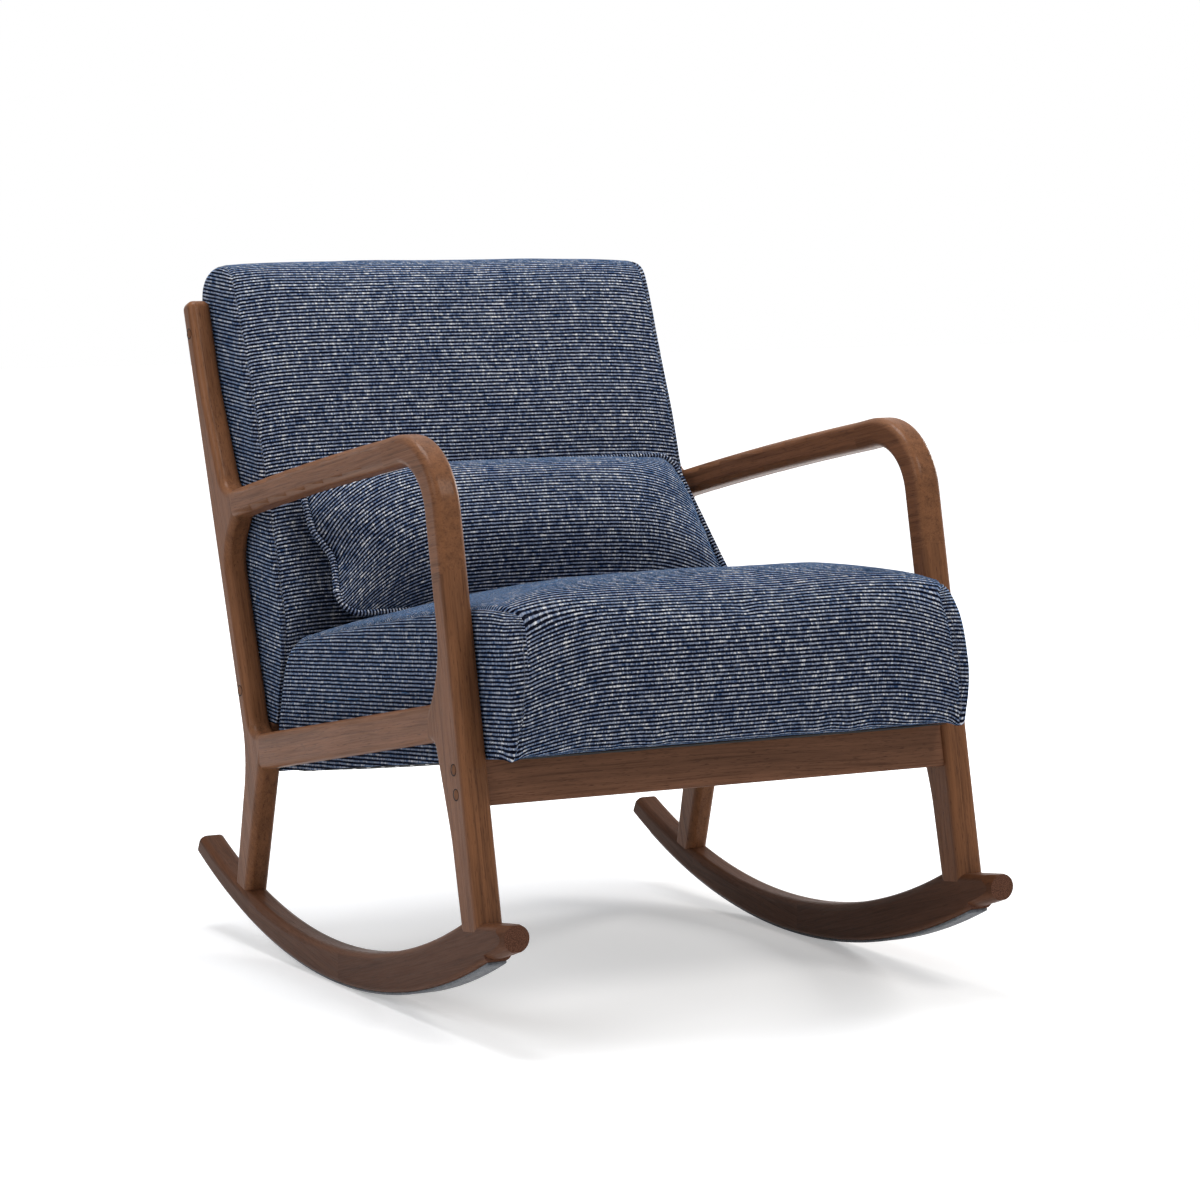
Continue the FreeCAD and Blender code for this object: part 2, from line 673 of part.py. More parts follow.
def back_post(side):
    """A back post with the boss that takes the arm, and the rear leg below it."""
    spare = "edge_round * 2"
    return board(f"back_post_{side}_blank", from_outside(side, "post_inset", "post_width"), "post_width", (
        ("line", f"rear_foot_front_setback + rear_leg_front_lean * {spare}",
         f"rear_foot_front_height - {spare}"),
        ("line", f"rear_foot_rear_setback + rear_leg_lean * {spare}", f"rear_foot_rear_height - {spare}"),
        ("line", "hip_setback", "hip_height"),
        ("line", "post_top_setback", "post_top_height"),
        ("line", "post_front_top_setback", "post_front_top_height"),
        ("line", "boss_top_setback", "boss_top_height"),
        ("line", "boss_corner_setback", "boss_corner_height"),
        ("line", "boss_setback", "arm_rear_top"),
        ("line", "boss_setback", "arm_rear_low"),
        ("line", "skirt_setback", "skirt_height"),
        ("line", "groin_setback", "groin_height"),
        ("line", "rail_rear_setback", "rail_rear_height"),
        ("line", "rail_rear_low_setback", "rail_rear_low"),
    ), bends=((2, "rear_leg_round"), (3, "post_top_round"), (4, "post_top_round"), (5, "boss_top_round"),
              (6, "boss_corner_round"), (9, "boss_skirt_round"), (10, "hip_round")),
        rounds=(("edge_round", (0, 2, 3, 4, 5, 6, 7, 9, 10, 11)),))


def side_rail(side):
    """A side rail between the back post and the front leg."""
    return board(f"side_rail_{side}_blank", from_outside(side, "post_inset", "post_width"), "post_width", (
        ("line", "rail_rear_low_setback", "rail_rear_low"),
        ("line", "rail_rear_setback", "rail_rear_height"),
        ("line", "0 - leg_joint_reach", "leg_joint_top"),
        ("line", "0 - leg_joint_reach", "leg_joint_low"),
    ), rounds=(("edge_round", (0, 2)),))


blanks = {}
for side in SIDES:
    front, middle, rear = rocker_segments(side)
    blanks[side] = {
        "rocker_front": front, "rocker_middle": middle, "rocker_rear": rear,
        "front_leg": front_leg(side), "armrest": armrest(side),
        "back_post": back_post(side), "side_rail": side_rail(side),
    }
    keep(f"rocker_pad_{side}", rocker_pad(side))
bores = {side: {name: [] for name in blanks[side]} for side in SIDES}


def cross_rails():
    """The front apron and the rear rail, which join the two side frames."""
    apron = board("front_apron_blank", "0 - between_legs / 2", "between_legs", (
        ("line", "0 - apron_bottom_reach", "apron_bottom_height"),
        ("line", "apron_thickness - apron_bottom_reach", "apron_bottom_height"),
        ("line", "0 - apron_rear_top_reach", "apron_rear_top"),
        ("line", "0 - apron_top_reach", "apron_top"),
    ), bends=((0, "cross_rail_round"), (1, "cross_rail_round")))
    rail = board("rear_rail_blank", "0 - between_posts / 2", "between_posts", (
        ("line", "rear_rail_setback", "rear_rail_bottom_height"),
        ("line", "rear_rail_setback + rear_rail_thickness", "rear_rail_bottom_height"),
        ("line", "rear_rail_setback + rear_rail_thickness", "rear_rail_bottom_height + rear_rail_depth"),
        ("line", "rear_rail_setback", "rear_rail_bottom_height + rear_rail_depth"),
    ), bends=tuple((corner, "cross_rail_round") for corner in range(4)))
    return apron, rail


apron_blank, rear_rail_blank = cross_rails()
apron_bores = []
rear_rail_bores = []


def dowel_pair(name, x, y, z, lean, across_lean):
    """Two dowels centred on a joint, side by side across it, and the bores that they need."""
    dowels = []
    for count, share in enumerate((-0.5, 0.5)):
        spot_y = f"({y}) + {share} * dowel_spacing * sin({across_lean})"
        spot_z = f"({z}) + {share} * dowel_spacing * cos({across_lean})"
        dowels.append(rod(f"{name}_{count}", "dowel_radius", "dowel_length", x, spot_y, spot_z, lean))
    holes = []
    for count, share in enumerate((-0.5, 0.5)):
        spot_y = f"({y}) + {share} * dowel_spacing * sin({across_lean})"
        spot_z = f"({z}) + {share} * dowel_spacing * cos({across_lean})"
        holes.append(rod(f"{name}_bore_{count}", "dowel_radius + clearance",
                         "dowel_length + 2 * clearance", x, spot_y, spot_z, lean))
    return dowels, holes


def wood_joints():
    """The dowels of every joint in the two side frames."""
    made = {"rail_dowels": [], "arm_dowels": [], "rocker_dowels": [], "foot_dowels": []}
    rail_way = "90 deg - atan(rail_rise)"
    arm_way = "90 deg - atan(arm_fall)"
    for side in SIDES:
        leg_x = middle_x(side, "0", "frame_width")
        post_x = middle_x(side, "post_inset", "post_width")
        joints = (
            ("rail_dowels", "rail_front", post_x, "0 - leg_joint_reach",
             "(leg_joint_top + leg_joint_low) / 2", rail_way, "0 deg", ("front_leg", "side_rail")),
            ("rail_dowels", "rail_rear", post_x, "(rail_rear_setback + rail_rear_low_setback) / 2",
             "(rail_rear_height + rail_rear_low) / 2", rail_way, "0 deg", ("back_post", "side_rail")),
            ("arm_dowels", "arm_front", leg_x, "0 - (arm_seam_reach + arm_seam_low_reach) / 2",
             "(arm_seam_top + arm_seam_low) / 2", arm_way, "0 deg", ("front_leg", "armrest")),
            ("arm_dowels", "arm_rear", leg_x, "boss_setback",
             "(arm_rear_top + arm_rear_low) / 2", arm_way, "0 deg", ("back_post", "armrest")),
            ("rocker_dowels", "seam_front", leg_x, "0 - front_seam_reach",
             "(front_seam_top + front_seam_low) / 2", "90 deg - asin(front_seam_reach / wood_radius)",
             "0 deg", ("rocker_front", "rocker_middle")),
            ("rocker_dowels", "seam_rear", leg_x, "rear_seam_reach",
             "(rear_seam_top + rear_seam_low) / 2", "asin(rear_seam_reach / wood_radius) + 90 deg",
             "0 deg", ("rocker_middle", "rocker_rear")),
            ("foot_dowels", "foot_front", leg_x, "0 - (foot_front_reach + foot_rear_reach) / 2",
             "(foot_front_height + foot_rear_height) / 2", "0 deg - atan(leg_lean)", "90 deg",
             ("front_leg", "rocker_front")),
            ("foot_dowels", "foot_rear", leg_x, "(rear_foot_front_setback + rear_foot_rear_setback) / 2",
             "(rear_foot_front_height + rear_foot_rear_height) / 2", "atan(rear_leg_front_lean)",
             "90 deg", ("back_post", "rocker_rear")),
        )
        for kind, name, x, y, z, lean, across, owners in joints:
            dowels, holes = dowel_pair(f"{name}_{side}", x, y, z, lean, across)
            made[kind] += dowels
            for owner in owners:
                bores[side][owner] += holes
    for kind, dowels in made.items():
        keep(kind, group(kind + "_group", dowels))


def cross_rail_joints():
    """The dowels along X that hold the rear rail between the back posts."""
    dowels = []
    for side in SIDES:
        for count, share in enumerate((-0.5, 0.5)):
            height = f"rear_rail_bottom_height + rear_rail_depth / 2 + {share} * dowel_spacing"
            setback = "rear_rail_setback + rear_rail_thickness / 2"
            start = from_outside(side, "post_inner_depth - dowel_length / 2", "dowel_length")
            dowels.append(cross_rod(f"rear_rail_dowel_{side}_{count}", "dowel_radius", "dowel_length",
                                    start, setback, height))
            room = "dowel_length + 2 * clearance"
            start = from_outside(side, f"post_inner_depth - ({room}) / 2", room)
            hole = cross_rod(f"rear_rail_bore_{side}_{count}", "dowel_radius + clearance", room,
                             start, setback, height)
            bores[side]["back_post"].append(hole)
            rear_rail_bores.append(hole)
    keep("rear_rail_dowels", group("rear_rail_dowels_group", dowels))


def bolt(name, side, depth, length, y, z, inward):
    """A socket bolt and its washer, from the depth of the face that the washer lies on."""
    spans = {"washer": "washer_thickness", "head": "head_length", "shank": length,
             "socket": "socket_depth"}
    if inward:
        starts = {
            "washer": f"({depth}) - washer_thickness",
            "head": f"({depth}) - washer_thickness - head_length",
            "shank": f"({depth}) - washer_thickness",
            "socket": f"({depth}) - washer_thickness - head_length",
        }
    else:
        starts = {
            "washer": depth,
            "head": f"({depth}) + washer_thickness",
            "shank": f"({depth}) + washer_thickness - ({length})",
            "socket": f"({depth}) + washer_thickness + head_length - socket_depth",
        }
    radii = {"washer": "washer_radius", "head": "head_radius", "shank": "bolt_radius",
             "socket": "socket_radius"}
    rods = {part: cross_rod(f"{name}_{part}", radii[part], spans[part],
                            from_outside(side, starts[part], spans[part]), y, z) for part in starts}
    whole = doc.addObject("Part::Fuse", name + "_whole")
    whole.Base = rods["head"]
    whole.Tool = rods["shank"]
    eye = cross_rod(f"{name}_eye", "bore_radius", "washer_thickness",
                    from_outside(side, starts["washer"], "washer_thickness"), y, z)
    return cut(name, whole, [rods["socket"]]), cut(name + "_ring", rods["washer"], [eye])


def side_hole(name, side, radius, depth, length, y, z):
    """A hole along X, from a depth inwards."""
    return cross_rod(name, radius, length, from_outside(side, depth, length), y, z)


def frame_bolts():
    """Bolts, washers, plugs, nuts and inserts that hold the cross pieces to the side frames."""
    made = {kind: [] for kind in ("leg_plugs", "post_plugs", "apron_bolts", "post_bolts",
                                  "washers", "barrel_nuts", "threaded_inserts")}
    back_holes = []
    for side in SIDES:
        for count, height in enumerate(("apron_bolt_low_height", "apron_bolt_high_height")):
            y = (f"leg_lean * ({height} - foot_front_height) - foot_front_reach"
                 " + apron_setback + apron_thickness / 2")
            name = f"apron_bolt_{side}_{count}"
            screw, ring = bolt(name, side, "seat_depth", "apron_bolt_length", y, height, True)
            made["apron_bolts"].append(screw)
            made["washers"].append(ring)
            made["leg_plugs"].append(
                side_hole(f"leg_plug_{side}_{count}", side, "plug_radius", "0", "plug_length", y, height))
            bores[side]["front_leg"] += [
                side_hole(f"{name}_counterbore", side, "plug_radius + clearance", "0", "seat_depth",
                          y, height),
                side_hole(f"{name}_bore", side, "bore_radius", "0", "frame_width", y, height)]
            apron_bores.append(side_hole(f"{name}_apron_bore", side, "bore_radius", "frame_width",
                                         "apron_bolt_length", y, height))
            nut_depth = "seat_depth + apron_bolt_length - 2 * nut_radius"
            nut_x = middle_x(side, nut_depth, "0")
            way = "90 deg - atan(leg_lean)"
            nut = rod(f"{name}_nut_blank", "nut_radius", "nut_length", nut_x, y, height, way)
            thread = side_hole(f"{name}_thread", side, "bore_radius", "frame_width",
                               "apron_bolt_length", y, height)
            made["barrel_nuts"].append(cut(f"{name}_nut", nut, [thread]))
            reach = "(nut_length / 2 + clearance + apron_thickness)"
            shift = f"({reach} / 2 - nut_length / 2 - clearance)"
            apron_bores.append(rod(f"{name}_nut_bore", "nut_radius + clearance", reach, nut_x,
                                   f"{y} + {shift} * cos(atan(leg_lean))",
                                   f"{height} - {shift} * sin(atan(leg_lean))", way))
        for count, height in enumerate(("post_bolt_low_height", "post_bolt_high_height")):
            y = f"post_rear_setback + post_lean * ({height} - post_rear_height) - post_depth / 2"
            name = f"post_bolt_{side}_{count}"
            screw, ring = bolt(name, side, "post_head_depth", "post_bolt_length", y, height, True)
            made["post_bolts"].append(screw)
            made["washers"].append(ring)
            made["post_plugs"].append(side_hole(f"post_plug_{side}_{count}", side, "plug_radius",
                                                "post_inset", "plug_length", y, height))
            bores[side]["back_post"] += [
                side_hole(f"{name}_counterbore", side, "plug_radius + clearance", "post_inset",
                          "seat_depth", y, height),
                side_hole(f"{name}_bore", side, "bore_radius", "post_inset", "post_width", y, height)]
            back_holes.append((side, y, height))
            start = "overall_width / 2 - back_frame_half_width"
            sleeve = side_hole(f"{name}_insert_blank", side, "insert_radius", start, "insert_length",
                               y, height)
            thread = side_hole(f"{name}_insert_thread", side, "bore_radius", start, "insert_length",
                               y, height)
            made["threaded_inserts"].append(cut(f"{name}_insert", sleeve, [thread]))
    made["seat_bolts"] = []
    seat_holes = []
    for side in SIDES:
        bolt_rows = ((-1, "seat_bolt_front_reach"), (1, "seat_bolt_rear_setback"))
        for count, (share, reach) in enumerate(bolt_rows):
            y = f"{share} * {reach}"
            z = f"rail_rear_height + rail_rise * (rail_rear_setback - ({y})) - rail_front_depth / 2"
            name = f"seat_bolt_{side}_{count}"
            screw, ring = bolt(name, side, "seat_washer_depth", "seat_bolt_length", y, z, False)
            made["seat_bolts"].append(screw)
            made["washers"].append(ring)
            start = "post_inner_depth - insert_length"
            sleeve = side_hole(f"{name}_insert_blank", side, "insert_radius", start,
                               "insert_length", y, z)
            thread = side_hole(f"{name}_insert_thread", side, "bore_radius", start,
                               "insert_length", y, z)
            made["threaded_inserts"].append(cut(f"{name}_insert", sleeve, [thread]))
            bores[side]["side_rail"].append(
                side_hole(f"{name}_pocket", side, "insert_radius + clearance",
                          "post_inner_depth - insert_length - clearance",
                          "insert_length + clearance", y, z))
            seat_holes.append((side, y, z))
    for kind, members in made.items():
        keep(kind, group(kind + "_group", members))
    return seat_holes, back_holes


wood_joints()
cross_rail_joints()
seat_holes, back_holes = frame_bolts()
for side, pieces in blanks.items():
    bores[side]["front_leg"].insert(0, pieces["rocker_front"])
    bores[side]["back_post"].insert(0, pieces["rocker_rear"])
    for name, piece in pieces.items():
        keep(f"{name}_{side}", cut(f"{name}_{side}_cut", piece, bores[side][name]))
keep("front_apron", cut("front_apron_cut", apron_blank, apron_bores))
keep("rear_rail", cut("rear_rail_cut", rear_rail_blank, rear_rail_bores))
doc.recompute()


def tilted(origin_y, origin_z, angle, along, up):
    """The Y and Z of a place that is given along and up a tilted frame."""
    return (f"({origin_y}) + ({along}) * cos({angle}) + ({up}) * sin({angle})",
            f"{origin_z} - ({along}) * sin({angle}) + ({up}) * cos({angle})")


def on_seat(along, up):
    """A place from the seat's front corner, along and above its underside."""
    return tilted("0 - seat_front_reach", "seat_front_height", "seat_angle", along, up)


def on_back(up, forward):
    """A place from the foot of the back's rear face, up it and forward of it."""
    return tilted("back_base_setback", "back_base_height", "post_angle", f"0 - ({forward})", up)


def block(name, spot, angle, low_x, span_x, span_along, span_up):
    """A plain block, tilted about X, from its lowest corner."""
    box = doc.addObject("Part::Box", name)
    box.setExpression("Length", full(span_x))
    box.setExpression("Width", full(span_along))
    box.setExpression("Height", full(span_up))
    box.Placement.Rotation = FreeCAD.Rotation(FreeCAD.Vector(1, 0, 0), -1)
    box.setExpression(".Placement.Rotation.Angle", full(f"0 deg - ({angle}) * 1 deg"))
    box.setExpression(".Placement.Base.x", full(low_x))
    box.setExpression(".Placement.Base.y", full(spot[0]))
    box.setExpression(".Placement.Base.z", full(spot[1]))
    return box


def seat_block(name, low_x, span_x, along, span_along, up, span_up):
    """A block in the seat's frame."""
    return block(name, on_seat(along, up), "seat_angle", low_x, span_x, span_along, span_up)


def back_block(name, low_x, span_x, up, span_up, forward, span_forward):
    """A block in the back's frame."""
    spot = on_back(up, f"({forward}) + ({span_forward})")
    return block(name, spot, "post_angle", low_x, span_x, span_forward, span_up)


def section(x, steps):
    """A closed wire at X through Y and Z corners; each step bulges outwards by its last number."""
    points = [FreeCAD.Vector(x, y, z) for y, z, bulge in steps]
    edges = []
    for index, step in enumerate(steps):
        near, far = points[index - 1], points[index]
        if step[2] == 0:
            edges.append(Part.LineSegment(near, far).toShape())
            continue
        across = FreeCAD.Vector(0, near.z - far.z, far.y - near.y).normalize()
        middle = (near + far) * 0.5 + across * step[2]
        edges.append(Part.Arc(near, middle, far).toShape())
    return Part.Wire(edges)


def cushion(half_width, profile, shares, inset=0.0):
    """A closed form through a profile at shares of its half width, drawn in by an inset."""
    reaches = [share[0] for share in shares] + [-share[0] for share in reversed(shares[:-1])]
    swells = [share[1] for share in shares] + [share[1] for share in reversed(shares[:-1])]
    wires = []
    for reach, swell in zip(reaches, swells):
        wires.append(section(reach * (half_width - inset), profile(reach, swell, inset)))
    return Part.makeLoft(wires, True, False)


def drawn_in(steps, inset):
    """An outline with each side moved inwards, its bulges kept."""
    if inset == 0:
        return steps
    corners = [FreeCAD.Vector(0, y, z) for y, z, bulge in steps]
    sides = []
    for index, corner in enumerate(corners):
        way = (corner - corners[index - 1]).normalize()
        inwards = FreeCAD.Vector(0, way.z, -way.y)
        sides.append((corner + inwards * inset, way))
    moved = []
    for index, step in enumerate(steps):
        spot, way = sides[index]
        other, turn = sides[(index + 1) % len(sides)]
        gap = other - spot
        share = (gap.y * turn.z - gap.z * turn.y) / (way.y * turn.z - way.z * turn.y)
        met = spot + way * share
        moved.append((met.y, met.z, step[2]))
    return tuple(moved)


def seat_profile(reach, swell, inset):
    """The seat's outline in Y and Z, from its front corner round over the top."""
    crown = number("seat_crown") * swell
    draw = number("seat_draw_in") * swell
    rear_crown = crown * SEAT_REAR_CROWN_SHARE
    return drawn_in((
        (-number("seat_front_reach"), number("seat_front_height"), 0),
        (-number("seat_brow_reach") - draw, number("seat_brow_height") + crown * SEAT_BROW_CROWN_SHARE,
         number("seat_front_bulge")),
        (-number("seat_top_reach"), number("seat_top_height") + crown, number("seat_brow_bulge")),
        (number("seat_back_top_setback"), number("seat_back_top_height") + rear_crown,
         number("seat_top_bulge")),
        (number("seat_heel_setback"), number("seat_heel_height") + rear_crown, number("seat_heel_bulge")),
        (number("seat_rear_setback"), number("seat_rear_height"), 0),
    ), inset)


def back_profile(reach, swell, inset):
    """The back's outline in Y and Z, from its foot up the front and down the rear face."""
    def spot(up, forward, bulge):
        """A corner of the outline in the back's frame."""
        y, z = on_back(str(up), str(forward))
        return (number(y), number(z), bulge)
    top = number("back_top_length") + number("back_top_crown") * swell
    shoulder = number("back_shoulder_depth") + number("back_crown") * SHOULDER_CROWN_SHARE * swell
    rear_round = number("back_rear_round")
    corner_bulge = rear_round * (1 - math.sqrt(0.5))
    return drawn_in((
        (number("back_foot_setback"), number("back_base_height"), 0),
        spot(number("back_waist_length"), number("back_waist_depth"), 0),
        spot(number("back_shoulder_length"), shoulder,
             number("back_front_bulge") + number("back_crown") * swell),
        spot(top, number("back_brow_depth"), number("back_shoulder_bulge")),
        spot(top, rear_round, number("back_top_bulge")),
        spot(top - rear_round, 0, corner_bulge),
        spot(0, 0, 0),
    ), inset)


def seat_upholstery():
    """The seat: cover, foam, springs in clips, a frame with corner blocks, and a dust cover."""
    half = number("seat_half_width")
    outer = cushion(half, seat_profile, SWELL_SHARES)
    inner = cushion(half, seat_profile, SWELL_SHARES, number("cover_thickness"))
    core = cushion(half, seat_profile, SWELL_SHARES, number("skin"))
    low_x = "0 - seat_frame_half_width"
    wide = "2 * seat_frame_half_width"
    front = "seat_frame_inset"
    long = "seat_frame_length"
    opening = seat_block("seat_opening", low_x, wide, front, long, "0 - skin", "2 * skin")
    hollow = seat_block("seat_hollow", low_x, wide, front, long, "0", "seat_board_top + clip_height")
    pad_long = "seat_length - seat_frame_inset - fibre_pad_rear_inset"
    pad_room = seat_block("fibre_pad_room", low_x, wide, front, f"{pad_long} + layer_gap", "seat_board_top",
                          "clip_height + fibre_pad_thickness + 2 * layer_gap")
    doc.recompute()
    cover = formed("seat_cover_form", outer.cut(inner).cut(opening.Shape))
    foam = formed("seat_foam_form", core.cut(hollow.Shape).cut(pad_room.Shape))
    cover_bores = []
    for count, (side, y, z) in enumerate(seat_holes):
        cover_bores.append(side_hole(f"seat_hole_{count}", side, "bore_radius", "frame_width",
                                     "seat_washer_depth", y, z))
    keep("seat_cover", cut("seat_cover_cut", cover, cover_bores))
    keep("seat_foam", cut("seat_foam_cut", foam, cover_bores))
    keep("seat_fibre_pad", seat_block(
        "fibre_pad_sheet", f"{low_x} + layer_gap", f"{wide} - 2 * layer_gap", f"{front} + layer_gap",
        pad_long + " - layer_gap", "seat_board_top + clip_height + layer_gap", "fibre_pad_thickness"))
    keep("dust_cover", seat_block(
        "dust_cover_sheet", f"{low_x} + layer_gap", f"{wide} - 2 * layer_gap", f"{front} + layer_gap",
        f"{long} - 2 * layer_gap", "skin - layer_gap - dust_cover_thickness", "dust_cover_thickness"))
    for side, share in SIDES.items():
        start = low_x if share < 0 else "seat_frame_half_width - frame_board"
        beam = seat_block(f"seat_side_{side}_blank", start, "frame_board", front, long, "skin",
                          "seat_frame_depth")
        holes = [hole for hole, spot in zip(cover_bores, seat_holes) if spot[0] == side]
        keep(f"seat_frame_side_{side}", cut(f"seat_side_{side}_cut", beam, holes + SCREW_BORES[side]))
    cross_x = f"{low_x} + frame_board"
    cross_wide = f"{wide} - 2 * frame_board"
    for name, along in (("front", front), ("rear", f"{front} + {long} - frame_board")):
        beam = seat_block(f"seat_{name}_blank", cross_x, cross_wide, along, "frame_board", "skin",
                          "seat_frame_depth")
        keep(f"seat_frame_{name}", cut(f"seat_{name}_cut", beam, SCREW_BORES[name]))


SCREW_BORES = {"left": [], "right": [], "front": [], "rear": []}


def seat_screw(name, wall, x, along, up):
    """A countersunk screw through a corner block into a wall of the seat frame."""
    parts = []
    for part, radius, length in (("head", "screw_head_radius", "screw_head_length"),
                                 ("shank", "screw_radius", "screw_length")):
        if wall in SIDES:
            sign = SIDES[wall]
            start = x if sign > 0 else f"({x}) - ({length})"
            y, z = on_seat(along, up)
            parts.append(cross_rod(f"{name}_{part}", radius, length, start, y, z))
            bore = cross_rod(f"{name}_{part}_bore", f"{radius} + clearance", length, start, y, z)
        else:
            sign = -1 if wall == "front" else 1
            y, z = on_seat(f"({along}) + {sign} * ({length}) / 2", up)
            lean = "0 deg - 90 deg - seat_angle * 1 deg"
            parts.append(rod(f"{name}_{part}", radius, length, x, y, z, lean))
            bore = rod(f"{name}_{part}_bore", f"{radius} + clearance", length, x, y, z, lean)
        SCREW_BORES[wall].append(bore)
        BLOCK_BORES.append(bore)
    whole = doc.addObject("Part::Fuse", name)
    whole.Base, whole.Tool = parts
    return whole


BLOCK_BORES = []


def corner_blocks():
    """A glued block in each corner of the seat frame, with a screw into each of its two walls."""
    blocks = []
    screws = []
    reach = "seat_frame_half_width - frame_board"
    height = "skin + seat_frame_depth / 2 - corner_block_height / 2"
    for side, sign in SIDES.items():
        for name, along, wall_along in (
                ("front", "seat_frame_inset + frame_board",
                 "seat_frame_inset + frame_board"),
                ("rear", "seat_frame_inset + seat_frame_length - frame_board - corner_block_size",
                 "seat_frame_inset + seat_frame_length - frame_board")):
            low_x = f"0 - ({reach})" if sign < 0 else f"{reach} - corner_block_size"
            solid = seat_block(f"corner_block_{side}_{name}", low_x, "corner_block_size", along,
                               "corner_block_size", height, "corner_block_height")
            blocks.append(solid)
            middle = "skin + seat_frame_depth / 2"
            inside_x = f"{sign} * ({reach} - corner_block_size / 2)"
            start_x = f"{sign} * ({reach} - screw_length + frame_board / 2)"
            screws.append(seat_screw(f"block_screw_{side}_{name}_side", side, start_x,
                                     f"{along} + corner_block_size / 2",
                                     f"{middle} + corner_block_height / 4"))
            way = -1 if name == "front" else 1
            start = f"{wall_along} - {way} * (screw_length - frame_board / 2)"
            screws.append(seat_screw(f"block_screw_{side}_{name}_wall", name, inside_x, start,
                                     f"{middle} - corner_block_height / 4"))
    keep("seat_corner_blocks", cut("corner_blocks_cut", group("corner_blocks_whole", blocks), BLOCK_BORES))
    keep("block_screws", group("block_screws_group", screws))


def seat_springs():
    """Sinuous springs from the front board to the rear one, each an unbroken wire, in clips."""
    wire = number("spring_wire")
    swing = number("spring_swing")
    first = number("seat_frame_inset + frame_board / 2")
    last = number("seat_frame_inset + seat_frame_length - frame_board / 2")
    pitch = (last - first) / SPRING_TURNS
    bend = pitch / 2
    level = number("spring_height")
    middle = (SPRING_COUNT - 1) / 2
    springs = []
    clips = []
    eyes = []
    for count in range(SPRING_COUNT):
        x = (count - middle) * number("spring_spacing")
        edges = []
        for turn in range(SPRING_TURNS + 1):
            way = 1 if turn % 2 == 0 else -1
            along = first + turn * pitch
            near = FreeCAD.Vector(x - way * (swing - bend), along, level)
            far = FreeCAD.Vector(x + way * (swing - bend), along, level)
            edges.append(Part.LineSegment(near, far).toShape())
            if turn < SPRING_TURNS:
                crest = far + FreeCAD.Vector(way * bend, bend, 0)
                edges.append(Part.Arc(far, crest, far + FreeCAD.Vector(0, pitch, 0)).toShape())
        start = FreeCAD.Vector(x - (swing - bend), first, level)
        ring = Part.Wire(Part.makeCircle(wire, start, FreeCAD.Vector(1, 0, 0)))
        springs.append(Part.Wire(edges).makePipeShell([ring], True, False))
        for end in (0, 1):
            clip_along = "seat_frame_inset + frame_board / 2 - clip_size / 2"
            if end:
                clip_along = "seat_frame_inset + seat_frame_length - frame_board / 2 - clip_size / 2"
            clip_x = f"{count - middle} * spring_spacing"
            clips.append(seat_block(f"clip_{count}_{end}", f"{clip_x} - clip_size / 2", "clip_size",
                                    clip_along, "clip_size", "seat_board_top", "clip_height"))
            y, z = on_seat(f"{clip_along} + clip_size / 2", "spring_height")
            eyes.append(cross_rod(f"clip_eye_{count}_{end}", "spring_wire + clearance", "clip_size",
                                  f"{clip_x} - clip_size / 2", y, z))
    print("springs: least gap between turns", round(pitch - 2 * wire, 2), "mm")
    y, z = on_seat("0", "0")
    keep("seat_springs", formed("springs_form", Part.makeCompound(springs),
                                (0, number(y), number(z)), -number("seat_angle")))
    keep("spring_clips", cut("clips_cut", group("clips_whole", clips), eyes))


